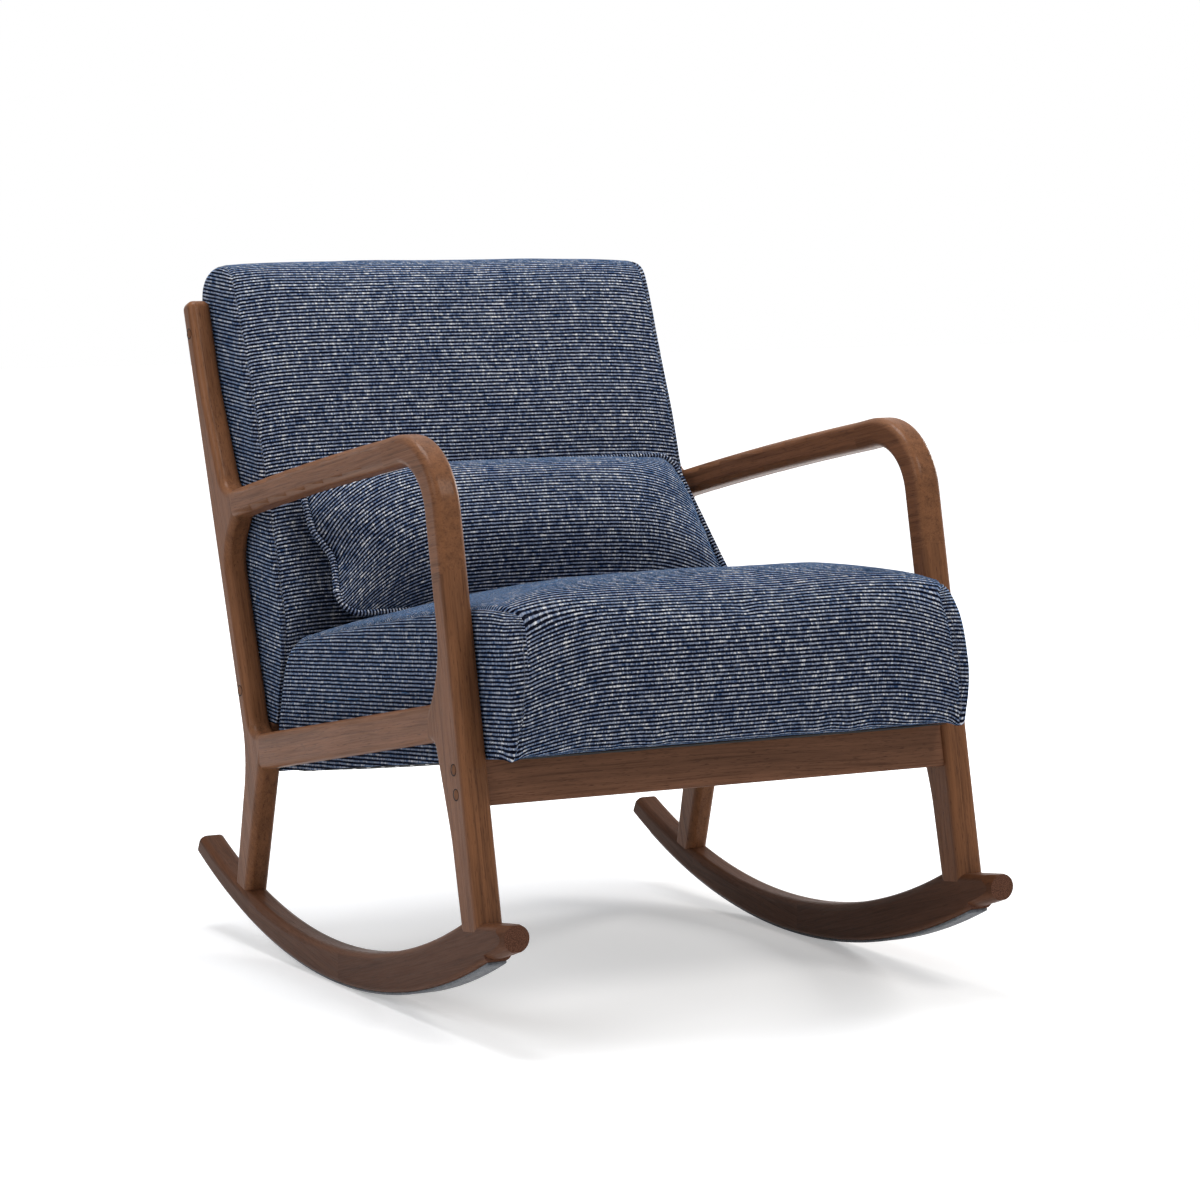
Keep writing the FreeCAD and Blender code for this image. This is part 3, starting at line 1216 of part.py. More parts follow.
def back_upholstery():
    """The back: cover, foam, webbing on a frame, rear padding and an outside panel."""
    half = number("back_half_width")
    outer = cushion(half, back_profile, SWELL_SHARES)
    inner = cushion(half, back_profile, SWELL_SHARES, number("cover_thickness"))
    core = cushion(half, back_profile, SWELL_SHARES, number("skin"))
    low_x = "0 - back_frame_half_width"
    wide = "2 * back_frame_half_width"
    base = "back_frame_base_height"
    tall = "back_frame_length"
    opening = back_block("back_opening", low_x, wide, base, tall, "0 - skin", "2 * skin")
    hollow = back_block("back_hollow", low_x, wide, base, tall, "0",
                        "back_frame_rear_depth + frame_board + web_thickness")
    doc.recompute()
    holes = []
    for count, (side, y, z) in enumerate(back_holes):
        holes.append(side_hole(f"back_hole_{count}", side, "insert_radius + clearance",
                               "post_inner_depth",
                               "overall_width / 2 - back_frame_half_width - post_inner_depth"
                               " + insert_length + clearance", y, z))
    cover = formed("back_cover_form", outer.cut(inner).cut(opening.Shape))
    keep("back_cover", cut("back_cover_cut", cover, holes))
    keep("back_foam", cut("back_foam_cut", formed("back_foam_form", core.cut(hollow.Shape)), holes))
    keep("back_panel", back_block("back_panel_sheet", f"{low_x} + padding_gap", f"{wide} - 2 * padding_gap",
                                  f"{base} + padding_gap", f"{tall} - 2 * padding_gap", "0",
                                  "cover_thickness"))
    keep("back_padding", back_block("back_padding_sheet", f"{low_x} + padding_gap",
                                    f"{wide} - 2 * padding_gap", f"{base} + padding_gap",
                                    f"{tall} - 2 * padding_gap", "skin",
                                    "padding_thickness"))
    for side, share in SIDES.items():
        start = low_x if share < 0 else "back_frame_half_width - back_stile_width"
        stile = back_block(f"back_stile_{side}_blank", start, "back_stile_width", base, tall,
                           "back_frame_rear_depth", "frame_board")
        own = [hole for hole, spot in zip(holes, back_holes) if spot[0] == side]
        tips = [side_hole(f"back_tip_{side}_{count}", side, "bore_radius", "post_inner_depth",
                          "post_bolt_length", spot[1], spot[2])
                for count, spot in enumerate(back_holes) if spot[0] == side]
        keep(f"back_stile_{side}", cut(f"back_stile_{side}_cut", stile, own + tips))
    cross_x = f"{low_x} + back_stile_width"
    cross_wide = f"{wide} - 2 * back_stile_width"
    for name, up in (("bottom", base), ("top", f"{base} + {tall} - back_stile_width")):
        keep(f"back_{name}_rail", back_block(f"back_{name}_rail_beam", cross_x, cross_wide, up,
                                             "back_stile_width", "back_frame_rear_depth", "frame_board"))
    straps = []
    for count in range(WEB_COUNT):
        up = f"{base} + {tall} / 2 + {count - (WEB_COUNT - 1) / 2} * web_spacing - web_width / 2"
        straps.append(back_block(f"web_{count}", low_x, wide, up, "web_width",
                                 "back_frame_rear_depth + frame_board", "web_thickness"))
    keep("back_webbing", group("back_webbing_group", straps))


def on_pillow(up, forward):
    """A place from the pillow's centre, up its seam plane and forward of it."""
    return tilted("pillow_centre_setback", "pillow_centre_height", "pillow_lean",
                  f"0 - ({forward})", up)


def pillow_half_height(reach):
    """Half the height of the pillow's seam outline at a share of its half width."""
    corner = number("pillow_corner")
    past = abs(reach) * number("pillow_width") / 2 - (number("pillow_width") / 2 - corner)
    drop = corner - math.sqrt(corner ** 2 - past ** 2) if past > 0 else 0
    return number("pillow_height") / 2 - drop


def pillow_profile(reach, swell, inset):
    """The pillow's lens outline in Y and Z: its front from bottom to top, then its rear."""
    half = pillow_half_height(reach) - 2 * inset
    low = [number(value) for value in on_pillow(str(-half), "0")]
    high = [number(value) for value in on_pillow(str(half), "0")]
    end = number("pillow_end_bulge")
    front = end + (number("pillow_front_bulge") - end) * swell
    rear = end + (number("pillow_rear_bulge") - end) * swell
    return ((low[0], low[1], rear - inset), (high[0], high[1], front - inset))


def pillow():
    """The loose pillow: two panels, its filling, the piping round their seam, and a zipper."""
    half = number("pillow_width") / 2
    cloth = number("pillow_cloth")
    outer = cushion(half, pillow_profile, PILLOW_SHARES)
    inner = cushion(half, pillow_profile, PILLOW_SHARES, cloth)
    core = cushion(half, pillow_profile, PILLOW_SHARES, cloth + number("layer_gap"))
    y, z = on_pillow("0 - pillow_height / 2 + 3 * pillow_end_bulge", "0 - 2 * pillow_end_bulge")
    keep("pillow_zipper", cross_rod("zipper_coil", "zipper_radius", "zipper_length",
                                    "pillow_centre_x - zipper_length / 2", y, z))
    groove = cross_rod("zipper_groove", "zipper_radius + clearance", "zipper_length + 2 * clearance",
                       "0 - zipper_length / 2 - clearance", y, z)
    slabs = {}
    for name, forward, low in (("front", 1, "pillow_seam / 2"), ("rear", -1, "0 - pillow_seam / 2")):
        start = low if forward > 0 else f"{low} - pillow_width"
        spot = on_pillow("0 - pillow_width / 2", f"{start} + pillow_width")
        slabs[name] = block(f"pillow_{name}_side", spot, "pillow_lean", "0 - pillow_width",
                            "2 * pillow_width", "pillow_width", "pillow_width")
    doc.recompute()
    skin = outer.cut(inner)
    pieces = {
        "pillow_front_panel": skin.common(slabs["front"].Shape),
        "pillow_rear_panel": skin.common(slabs["rear"].Shape).cut(groove.Shape),
        "pillow_fill": core.cut(groove.Shape),
        "pillow_piping": pillow_piping(),
    }
    for name, shape in pieces.items():
        keep(name, formed(name + "_form", shape, (number("pillow_centre_x"), 0, 0)))


def pillow_piping():
    """A round cord along the pillow's seam: four runs and four corner arcs."""
    radius = number("piping_radius")
    gap = radius + number("layer_gap")
    wide = number("pillow_width") / 2
    tall = number("pillow_height") / 2
    corner = number("pillow_corner")
    reach = corner + gap

    def spot(x, up):
        """A place on the seam plane."""
        y, z = on_pillow(str(up), "0")
        return FreeCAD.Vector(x, number(y), number(z))
    edges = []
    diagonal = reach * math.sqrt(0.5)
    for way_x, way_up in ((1, 1), (-1, 1), (-1, -1), (1, -1)):
        centre_x = way_x * (wide - corner)
        centre_up = way_up * (tall - corner)
        side = spot(centre_x + way_x * reach, centre_up)
        level = spot(centre_x, centre_up + way_up * reach)
        crest = spot(centre_x + way_x * diagonal, centre_up + way_up * diagonal)
        ends = (side, level) if way_x * way_up > 0 else (level, side)
        if edges:
            edges.append(Part.LineSegment(edges[-1].lastVertex(True).Point, ends[0]).toShape())
        edges.append(Part.Arc(ends[0], crest, ends[1]).toShape())
    edges.append(Part.LineSegment(edges[-1].lastVertex(True).Point,
                                  edges[0].firstVertex(True).Point).toShape())
    path = Part.Wire(edges)
    start = spot(wide + gap, tall - corner)
    along = spot(wide + gap, tall) - start
    ring = Part.Wire(Part.makeCircle(radius, start, along))
    return path.makePipeShell([ring], True, False)


corner_blocks()
seat_upholstery()
seat_springs()
back_upholstery()
pillow()
doc.recompute()


def write_parts():
    """Check every object, then write each sub-part to its file."""
    doc.recompute()
    for thing in doc.Objects:
        if "Invalid" in thing.State or "Error" in thing.State:
            raise RuntimeError(f"{thing.Name} failed: {thing.State}")
    for label, thing in MADE.items():
        if thing.Shape.isNull() or not thing.Shape.isValid():
            raise RuntimeError(f"{label} has no valid shape")
    os.makedirs("parts", exist_ok=True)
    for label, thing in MADE.items():
        thing.Shape.exportStep(os.path.join("parts", label + ".step"))
    print(len(MADE), "sub-parts written")


write_parts()
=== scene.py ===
"""Looks of an upholstered rocking chair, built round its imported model.

Every length is in metres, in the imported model's own frame: +Z up, the floor at Z = 0, the chair's
front towards -Y and its middle at X = 0. Pieces called left lie at -X.
"""
import logging
import math
from collections.abc import Callable
from dataclasses import dataclass, field
from enum import Enum

import bpy
import numpy as np
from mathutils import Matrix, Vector, noise


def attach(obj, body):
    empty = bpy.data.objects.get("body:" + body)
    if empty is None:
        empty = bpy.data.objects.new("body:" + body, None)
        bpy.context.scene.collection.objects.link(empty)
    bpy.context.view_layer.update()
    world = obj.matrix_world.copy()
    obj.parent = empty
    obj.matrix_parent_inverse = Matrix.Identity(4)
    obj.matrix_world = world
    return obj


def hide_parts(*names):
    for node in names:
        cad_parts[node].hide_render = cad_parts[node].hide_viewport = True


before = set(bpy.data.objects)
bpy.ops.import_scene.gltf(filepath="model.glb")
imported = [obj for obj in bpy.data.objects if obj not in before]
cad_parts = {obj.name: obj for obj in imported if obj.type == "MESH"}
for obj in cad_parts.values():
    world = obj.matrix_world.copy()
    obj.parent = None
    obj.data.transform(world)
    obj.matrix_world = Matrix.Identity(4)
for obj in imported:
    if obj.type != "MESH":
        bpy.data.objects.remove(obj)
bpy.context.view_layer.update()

LOG = logging.getLogger("rocking_chair")
SIDES = {"left": -1.0, "right": 1.0}


class Grain(Enum):
    """How the grain runs through a piece of wood."""

    STRAIGHT = "straight"
    BENT = "bent"


class Way(Enum):
    """Whether a node group's socket takes a value in or gives it out."""

    INTO = "INPUT"
    OUT = "OUTPUT"


class Wiring:
    """A node tree with short calls that add nodes and link them."""

    def __init__(self, tree: bpy.types.NodeTree) -> None:
        """Keep the tree.

        Args:
            tree: the node tree that nodes are added to.
        """
        self.tree = tree

    def add(self, kind: str, **settings: object) -> bpy.types.Node:
        """Add a node.

        Args:
            kind: the node's type name.
            settings: properties to set on it.

        Returns:
            The new node.
        """
        node = self.tree.nodes.new(kind)
        for name, value in settings.items():
            setattr(node, name, value)
        return node

    def feed(self, socket: bpy.types.NodeSocket, value: object) -> None:
        """Link a socket into an input, or set the input to a value.

        Args:
            socket: the input.
            value: an output socket, a number or a colour.
        """
        if isinstance(value, bpy.types.NodeSocket):
            self.tree.links.new(value, socket)
        else:
            socket.default_value = value

    def math(self, operation: str, *values: object, clamp: bool = False) -> bpy.types.NodeSocket:
        """Add a Math node.

        Args:
            operation: what it works out.
            values: its inputs.
            clamp: whether the result is kept from 0 to 1.

        Returns:
            Its result.
        """
        node = self.add("ShaderNodeMath", operation=operation, use_clamp=clamp)
        for socket, value in zip(node.inputs, values):
            self.feed(socket, value)
        return node.outputs[0]

    def plus(self, first: object, second: object, clamp: bool = False) -> bpy.types.NodeSocket:
        """Add two values."""
        return self.math("ADD", first, second, clamp=clamp)

    def minus(self, first: object, second: object) -> bpy.types.NodeSocket:
        """Take the second value from the first."""
        return self.math("SUBTRACT", first, second)

    def times(self, first: object, second: object, clamp: bool = False) -> bpy.types.NodeSocket:
        """Multiply two values."""
        return self.math("MULTIPLY", first, second, clamp=clamp)

    def vector(self, operation: str, *values: object) -> bpy.types.NodeSocket:
        """Add a Vector Math node.

        Args:
            operation: what it works out.
            values: its inputs.

        Returns:
            Its vector, or its value where it gives one number.
        """
        node = self.add("ShaderNodeVectorMath", operation=operation)
        for socket, value in zip(node.inputs, values):
            self.feed(socket, value)
        scalar = operation in ("DOT_PRODUCT", "LENGTH", "DISTANCE")
        return node.outputs["Value" if scalar else "Vector"]

    def join(self, x: object, y: object, z: object = 0.0) -> bpy.types.NodeSocket:
        """Combine three values into a vector.

        Args:
            x: the value along X.
            y: the value along Y.
            z: the value along Z.

        Returns:
            The vector.
        """
        node = self.add("ShaderNodeCombineXYZ")
        for socket, value in zip(node.inputs, (x, y, z)):
            self.feed(socket, value)
        return node.outputs[0]

    def split(self, vector: bpy.types.NodeSocket) -> bpy.types.NodeOutputs:
        """Separate a vector.

        Args:
            vector: the vector.

        Returns:
            Its three values.
        """
        node = self.add("ShaderNodeSeparateXYZ")
        self.feed(node.inputs[0], vector)
        return node.outputs

    def noise(self, vector: object, detail: float = 2.0, roughness: float = 0.5) -> bpy.types.NodeSocket:
        """Add a Noise Texture with one swing to each unit.

        Args:
            vector: the place that it is read at.
            detail: how many finer layers it has.
            roughness: how strong these are.

        Returns:
            Its value, around 0.5.
        """
        node = self.add("ShaderNodeTexNoise")
        self.feed(node.inputs["Vector"], vector)
        for name, value in (("Scale", 1.0), ("Detail", detail), ("Roughness", roughness)):
            node.inputs[name].default_value = value
        return node.outputs["Fac"]

    def spread(self, value: object, low: float, high: float, to_low: float = 0.0,
               to_high: float = 1.0) -> bpy.types.NodeSocket:
        """Map a range smoothly to another and return the result.

        Args:
            value: the input value.
            low: where the range starts.
            high: where it ends.
            to_low: the result at the start.
            to_high: the result at the end.

        Returns:
            The mapped value.
        """
        node = self.add("ShaderNodeMapRange", interpolation_type="SMOOTHSTEP")
        self.feed(node.inputs["Value"], value)
        for name, limit in (("From Min", low), ("From Max", high), ("To Min", to_low), ("To Max", to_high)):
            self.feed(node.inputs[name], limit)
        return node.outputs["Result"]

    def mix(self, factor: object, first: object, second: object) -> bpy.types.NodeSocket:
        """Mix two colours.

        Args:
            factor: how much of the second there is.
            first: the first colour.
            second: the second colour.

        Returns:
            The mixed colour.
        """
        node = self.add("ShaderNodeMix", data_type="RGBA")
        for rank, value in ((0, factor), (6, first), (7, second)):
            self.feed(node.inputs[rank], value)
        return node.outputs[2]

    def place(self, group: bpy.types.NodeTree, **values: object) -> bpy.types.NodeOutputs:
        """Place a node group with its own values.

        Args:
            group: the node group.
            values: the inputs by name, with underscores for spaces.

        Returns:
            The group node's outputs.
        """
        node = self.add("ShaderNodeGroup", node_tree=group)
        for name, value in values.items():
            self.feed(node.inputs[name.replace("_", " ")], value)
        return node.outputs


def start_group(name: str, sockets: tuple) -> tuple[Wiring, bpy.types.Node, bpy.types.Node]:
    """Start a shader node group with named sockets.

    Args:
        name: the group's name.
        sockets: a way, a name, a socket type and a default for each.

    Returns:
        The wiring, its input node and its output node.
    """
    tree = bpy.data.node_groups.new(name, "ShaderNodeTree")
    for way, label, kind, default in sockets:
        socket = tree.interface.new_socket(name=label, in_out=way.value, socket_type=kind)
        if default is not None:
            socket.default_value = default
    wiring = Wiring(tree)
    return wiring, wiring.add("NodeGroupInput"), wiring.add("NodeGroupOutput")


VALUE = "NodeSocketFloat"
COLOUR = "NodeSocketColor"
VECTOR = "NodeSocketVector"


class Effects:
    """The shader node groups that the finishes share."""

    def __init__(self) -> None:
        """Build each group once."""
        self.ribs = self.make_ribs()
        self.grain = self.make_grain()
        self.speckle = self.make_speckle()

    def make_ribs(self) -> bpy.types.NodeTree:
        """Build the group for a ribbed, slubby chenille.

        Returns:
            The group: a colour, a roughness and a height from the place on the cloth.
        """
        w, into, out = start_group("ribbed_chenille", (
            (Way.INTO, "Place", VECTOR, None),
            (Way.INTO, "Pitch", VALUE, 0.0046),
            (Way.INTO, "Ground", COLOUR, (0.003, 0.004, 0.012, 1)),
            (Way.INTO, "Middle", COLOUR, (0.04, 0.1, 0.26, 1)),
            (Way.INTO, "Rib", COLOUR, (0.27, 0.32, 0.42, 1)),
            (Way.INTO, "Slub", COLOUR, (0.68, 0.67, 0.66, 1)),
            (Way.OUT, "Colour", COLOUR, None),
            (Way.OUT, "Roughness", VALUE, None),
            (Way.OUT, "Height", VALUE, None)))
        place = w.split(into.outputs["Place"])
        along, across = place[0], place[1]

        def woven(per_along: float, over: object, per_over: float, layer: float, detail: float,
                  roughness: float) -> bpy.types.NodeSocket:
            """Read a noise with its own scale along a rib and over the ribs.

            Args:
                per_along: how many swings there are in a metre along a rib.
                over: what it changes with over the ribs, a length or the rib's number.
                per_over: how many swings there are in one of these.
                layer: which of the noise's layers is read.
                detail: how many finer layers it has.
                roughness: how strong these are.

            Returns:
                The noise, around 0.5.
            """
            spot = w.join(w.times(along, per_along), w.times(over, per_over), layer)
            return w.noise(spot, detail, roughness)

        wobble = woven(38.0, across, 60.0, 0.0, 2.0, 0.5)
        frayed = woven(420.0, across, 420.0, 6.0, 2.0, 0.6)
        phase = w.plus(w.math("DIVIDE", across, into.outputs["Pitch"]), w.times(w.minus(wobble, 0.5), 0.3))
        phase = w.plus(phase, w.times(w.minus(frayed, 0.5), 0.42))
        rank = w.math("ROUND", phase)
        offset = w.math("ABSOLUTE", w.minus(phase, rank))
        slub = woven(95.0, rank, 3.7, 0.0, 3.0, 0.6)
        fleck = woven(520.0, rank, 5.3, 4.0, 2.0, 0.65)
        warp = woven(240.0, across, 42.0, 2.0, 3.0, 0.62)
        cloud = woven(26.0, across, 12.0, 9.0, 2.0, 0.5)
        fuzz = woven(1100.0, across, 1100.0, 1.0, 3.0, 0.7)
        tone = w.plus(w.times(w.spread(fleck, 0.41, 0.61), 0.48), w.times(w.spread(slub, 0.38, 0.64), 0.34))
        tone = w.plus(tone, w.times(w.spread(warp, 0.36, 0.64), 0.2))
        tone = w.plus(tone, w.times(w.minus(cloud, 0.5), 0.3), clamp=True)
        rib = w.mix(w.spread(tone, 0.0, 0.44), into.outputs["Middle"], into.outputs["Rib"])
        rib = w.mix(w.spread(tone, 0.5, 0.95), rib, into.outputs["Slub"])
        rib = w.mix(w.spread(fuzz, 0.6, 0.3, 0.0, 0.35), rib, into.outputs["Middle"])
        crossed = w.plus(w.times(fuzz, 0.5), w.times(warp, 0.5))
        gap = w.times(w.spread(offset, 0.14, 0.26), w.spread(crossed, 0.7, 0.54, 0.6, 1.0))
        height = w.plus(w.plus(w.spread(offset, 0.5, 0.08), w.times(fuzz, 0.28)), w.times(slub, 0.3))
        w.feed(out.inputs["Colour"], w.mix(gap, rib, into.outputs["Ground"]))
        w.feed(out.inputs["Roughness"], w.spread(fuzz, 0.2, 0.8, 0.86, 1.0))
        w.feed(out.inputs["Height"], height)
        return w.tree

    def make_grain(self) -> bpy.types.NodeTree:
        """Build the group for stained wood with painted light on it: faces that look along X and the other
        faces take two colours for how light falls on them, and rounded edges are lightened in patches, a
        painted highlight mixed with wear.

        Returns:
            The group: a colour, a roughness and a height from a place in the wood, whose Z runs
            along the grain, and from the surface's own direction.
        """
        w, into, out = start_group("stained_grain", (
            (Way.INTO, "Place", VECTOR, None),
            (Way.INTO, "Seed", VALUE, 0.0),
            (Way.INTO, "Face", COLOUR, (0.17, 0.083, 0.048, 1)),
            (Way.INTO, "Edge", COLOUR, (0.2, 0.09, 0.044, 1)),
            (Way.INTO, "Dark", COLOUR, (0.05, 0.02, 0.01, 1)),
            (Way.INTO, "Contrast", VALUE, 1.0),
            (Way.INTO, "End", VALUE, 0.0),
            (Way.OUT, "Colour", COLOUR, None),
            (Way.OUT, "Roughness", VALUE, None),
            (Way.OUT, "Height", VALUE, None)))
        spot = w.split(into.outputs["Place"])
        seed = into.outputs["Seed"]

        def grained(shift: object, across: float, along: float, detail: float,
                    roughness: float = 0.5) -> bpy.types.NodeSocket:
            """Read a noise with its own scale across the grain and along it.

            Args:
                shift: how far the place is moved across the grain.
                across: how many swings there are in a metre across the grain.
                along: how many there are along it.
                detail: how many finer layers it has.
                roughness: how strong these are.

            Returns:
                The noise, around 0.5.
            """
            x, y = (w.times(w.plus(value, shift), across) for value in (spot[0], spot[1]))
            return w.noise(w.join(x, y, w.plus(w.times(spot[2], along), seed)), detail, roughness)

        # The faces that look along X take the Face colour and the rest take the Edge colour; where the two
        # differ, the difference is painted light and shade.
        side = w.math("ABSOLUTE", w.split(w.add("ShaderNodeNewGeometry").outputs["Normal"])[0])
        flat = w.spread(side, 0.82, 0.995)
        round_edge = w.times(w.spread(side, 0.05, 0.45), w.spread(side, 0.98, 0.75))
        bent = w.times(w.minus(grained(0.0, 9.0, 2.2, 2.0), 0.5), 0.02)
        bands = grained(bent, 95.0, 2.6, 4.0, 0.6)
        fibres = grained(bent, 760.0, 17.0, 3.0, 0.6)
        streaks = grained(bent, 290.0, 7.0, 2.0, 0.6)
        pores = grained(0.0, 1300.0, 75.0, 1.0)
        blotch = grained(0.0, 14.0, 5.0, 3.0, 0.6)
        tone = w.plus(w.times(w.spread(bands, 0.4, 0.64), 0.34), w.times(w.spread(fibres, 0.38, 0.68), 0.3))
        tone = w.plus(tone, w.times(w.spread(streaks, 0.5, 0.68), 0.4))
        tone = w.plus(tone, w.times(w.spread(blotch, 0.45, 0.75), 0.26))
        tone = w.times(tone, into.outputs["Contrast"], clamp=True)
        colour = w.mix(flat, into.outputs["Edge"], into.outputs["Face"])
        colour = w.mix(w.times(tone, 0.68), colour, into.outputs["Dark"])
        colour = w.mix(w.times(w.spread(pores, 0.62, 0.72), 0.7), colour, into.outputs["Dark"])
        # Rounded edges go part way to the Edge colour in patches: a painted highlight, partly wear.
        highlight_and_wear = w.times(round_edge, w.spread(blotch, 0.65, 0.35, 0.1, 0.4))
        colour = w.mix(highlight_and_wear, colour, into.outputs["Edge"])
        rays = w.noise(w.vector("MULTIPLY", into.outputs["Place"], (900.0, 900.0, 40.0)), 3.0, 0.6)
        rings = w.mix(w.spread(rays, 0.35, 0.65), (0.055, 0.021, 0.012, 1), (0.145, 0.062, 0.036, 1))
        w.feed(out.inputs["Colour"], w.mix(into.outputs["End"], colour, rings))
        rough = w.plus(w.spread(fibres, 0.3, 0.7, 0.34, 0.46), w.times(blotch, 0.14))
        w.feed(out.inputs["Roughness"], rough)
        w.feed(out.inputs["Height"], w.minus(w.times(fibres, 0.4), w.spread(pores, 0.66, 0.78)))
        return w.tree

    def make_speckle(self) -> bpy.types.NodeTree:
        """Build the group for a surface mottled at two scales, such as felt or cast foam.

        Returns:
            The group: a colour, a mask and a height from a place.
        """
        w, into, out = start_group("mottle", (
            (Way.INTO, "Place", VECTOR, None),
            (Way.INTO, "Coarse", VALUE, 60.0),
            (Way.INTO, "Fine", VALUE, 900.0),
            (Way.INTO, "First", COLOUR, (0.2, 0.2, 0.2, 1)),
            (Way.INTO, "Second", COLOUR, (0.4, 0.4, 0.4, 1)),
            (Way.OUT, "Colour", COLOUR, None),
            (Way.OUT, "Mask", VALUE, None),
            (Way.OUT, "Height", VALUE, None)))

        def mottled(label: str, detail: float, roughness: float) -> bpy.types.NodeSocket:
            """Read a noise at the scale of a named input.

            Args:
                label: the input that gives its swings in a metre.
                detail: how many finer layers it has.
                roughness: how strong these are.

            Returns:
                The noise, around 0.5.
            """
            scales = w.join(*[into.outputs[label]] * 3)
            return w.noise(w.vector("MULTIPLY", into.outputs["Place"], scales), detail, roughness)

        coarse = mottled("Coarse", 3.0, 0.6)
        fine = mottled("Fine", 2.0, 0.7)
        mask = w.spread(w.plus(w.times(coarse, 0.5), w.times(fine, 0.5)), 0.36, 0.64)
        w.feed(out.inputs["Colour"], w.mix(mask, into.outputs["First"], into.outputs["Second"]))
        w.feed(out.inputs["Mask"], mask)
        w.feed(out.inputs["Height"], fine)
        return w.tree


def start_material(name: str, **constants: object) -> tuple[Wiring, bpy.types.Node, bpy.types.Material]:
    """Start a material on a Principled shader.

    Args:
        name: the material's name.
        constants: values set on the shader's own sockets, with underscores for spaces.

    Returns:
        The wiring, the shader node and the material.
    """
    material = bpy.data.materials.new(name)
    material.use_nodes = True
    wiring = Wiring(material.node_tree)
    shader = material.node_tree.nodes["Principled BSDF"]
    for label, value in constants.items():
        shader.inputs[label.replace("_", " ")].default_value = value
    return wiring, shader, material


def feed_surface(w: Wiring, shader: bpy.types.Node, colour: bpy.types.NodeSocket,
                 roughness: bpy.types.NodeSocket, height: bpy.types.NodeSocket, depth: float,
                 strength: float = 0.7) -> None:
    """Feed a colour, a roughness and a relief into the shader.

    Args:
        w: the material's wiring.
        shader: the Principled shader.
        colour: the colour.
        roughness: the roughness.
        height: the relief's height, from 0 to about 1.
        depth: how deep a height of 1 is.
        strength: how strongly it shows.
    """
    w.feed(shader.inputs["Base Color"], colour)
    w.feed(shader.inputs["Roughness"], roughness)
    bump = w.add("ShaderNodeBump")
    bump.inputs["Strength"].default_value = strength
    bump.inputs["Distance"].default_value = depth
    w.feed(bump.inputs["Height"], height)
    w.feed(shader.inputs["Normal"], bump.outputs["Normal"])


@dataclass(frozen=True)
class ChenilleFinish:
    """Striped chenille in blues and off-whites, whose ribs follow the mesh's own cloth map."""

    name: str
    pitch: float = 0.00462
    ground: tuple = (0.0028, 0.0036, 0.0105, 1)
    middle: tuple = (0.03, 0.064, 0.15, 1)
    rib: tuple = (0.24, 0.285, 0.4, 1)
    slub: tuple = (0.9, 0.9, 0.92, 1)
    sheen: float = 1.0
    depth: float = 0.0012

    def make(self, effects: Effects) -> bpy.types.Material:
        """Build the material.

        Args:
            effects: the shared node groups.

        Returns:
            The material.
        """
        w, shader, material = start_material(self.name, Sheen_Roughness=0.3,
                                             Sheen_Tint=(0.15, 0.45, 1.0, 1), Specular_IOR_Level=0.04)
        place = w.add("ShaderNodeUVMap", uv_map="cloth").outputs["UV"]
        cloth = w.place(effects.ribs, Place=place, Pitch=self.pitch, Ground=self.ground,
                        Middle=self.middle, Rib=self.rib, Slub=self.slub)
        w.feed(shader.inputs["Sheen Weight"], w.spread(cloth["Height"], 0.5, 1.3, 0.0, self.sheen))
        feed_surface(w, shader, cloth["Colour"], cloth["Roughness"], cloth["Height"], self.depth, 0.9)
        return material


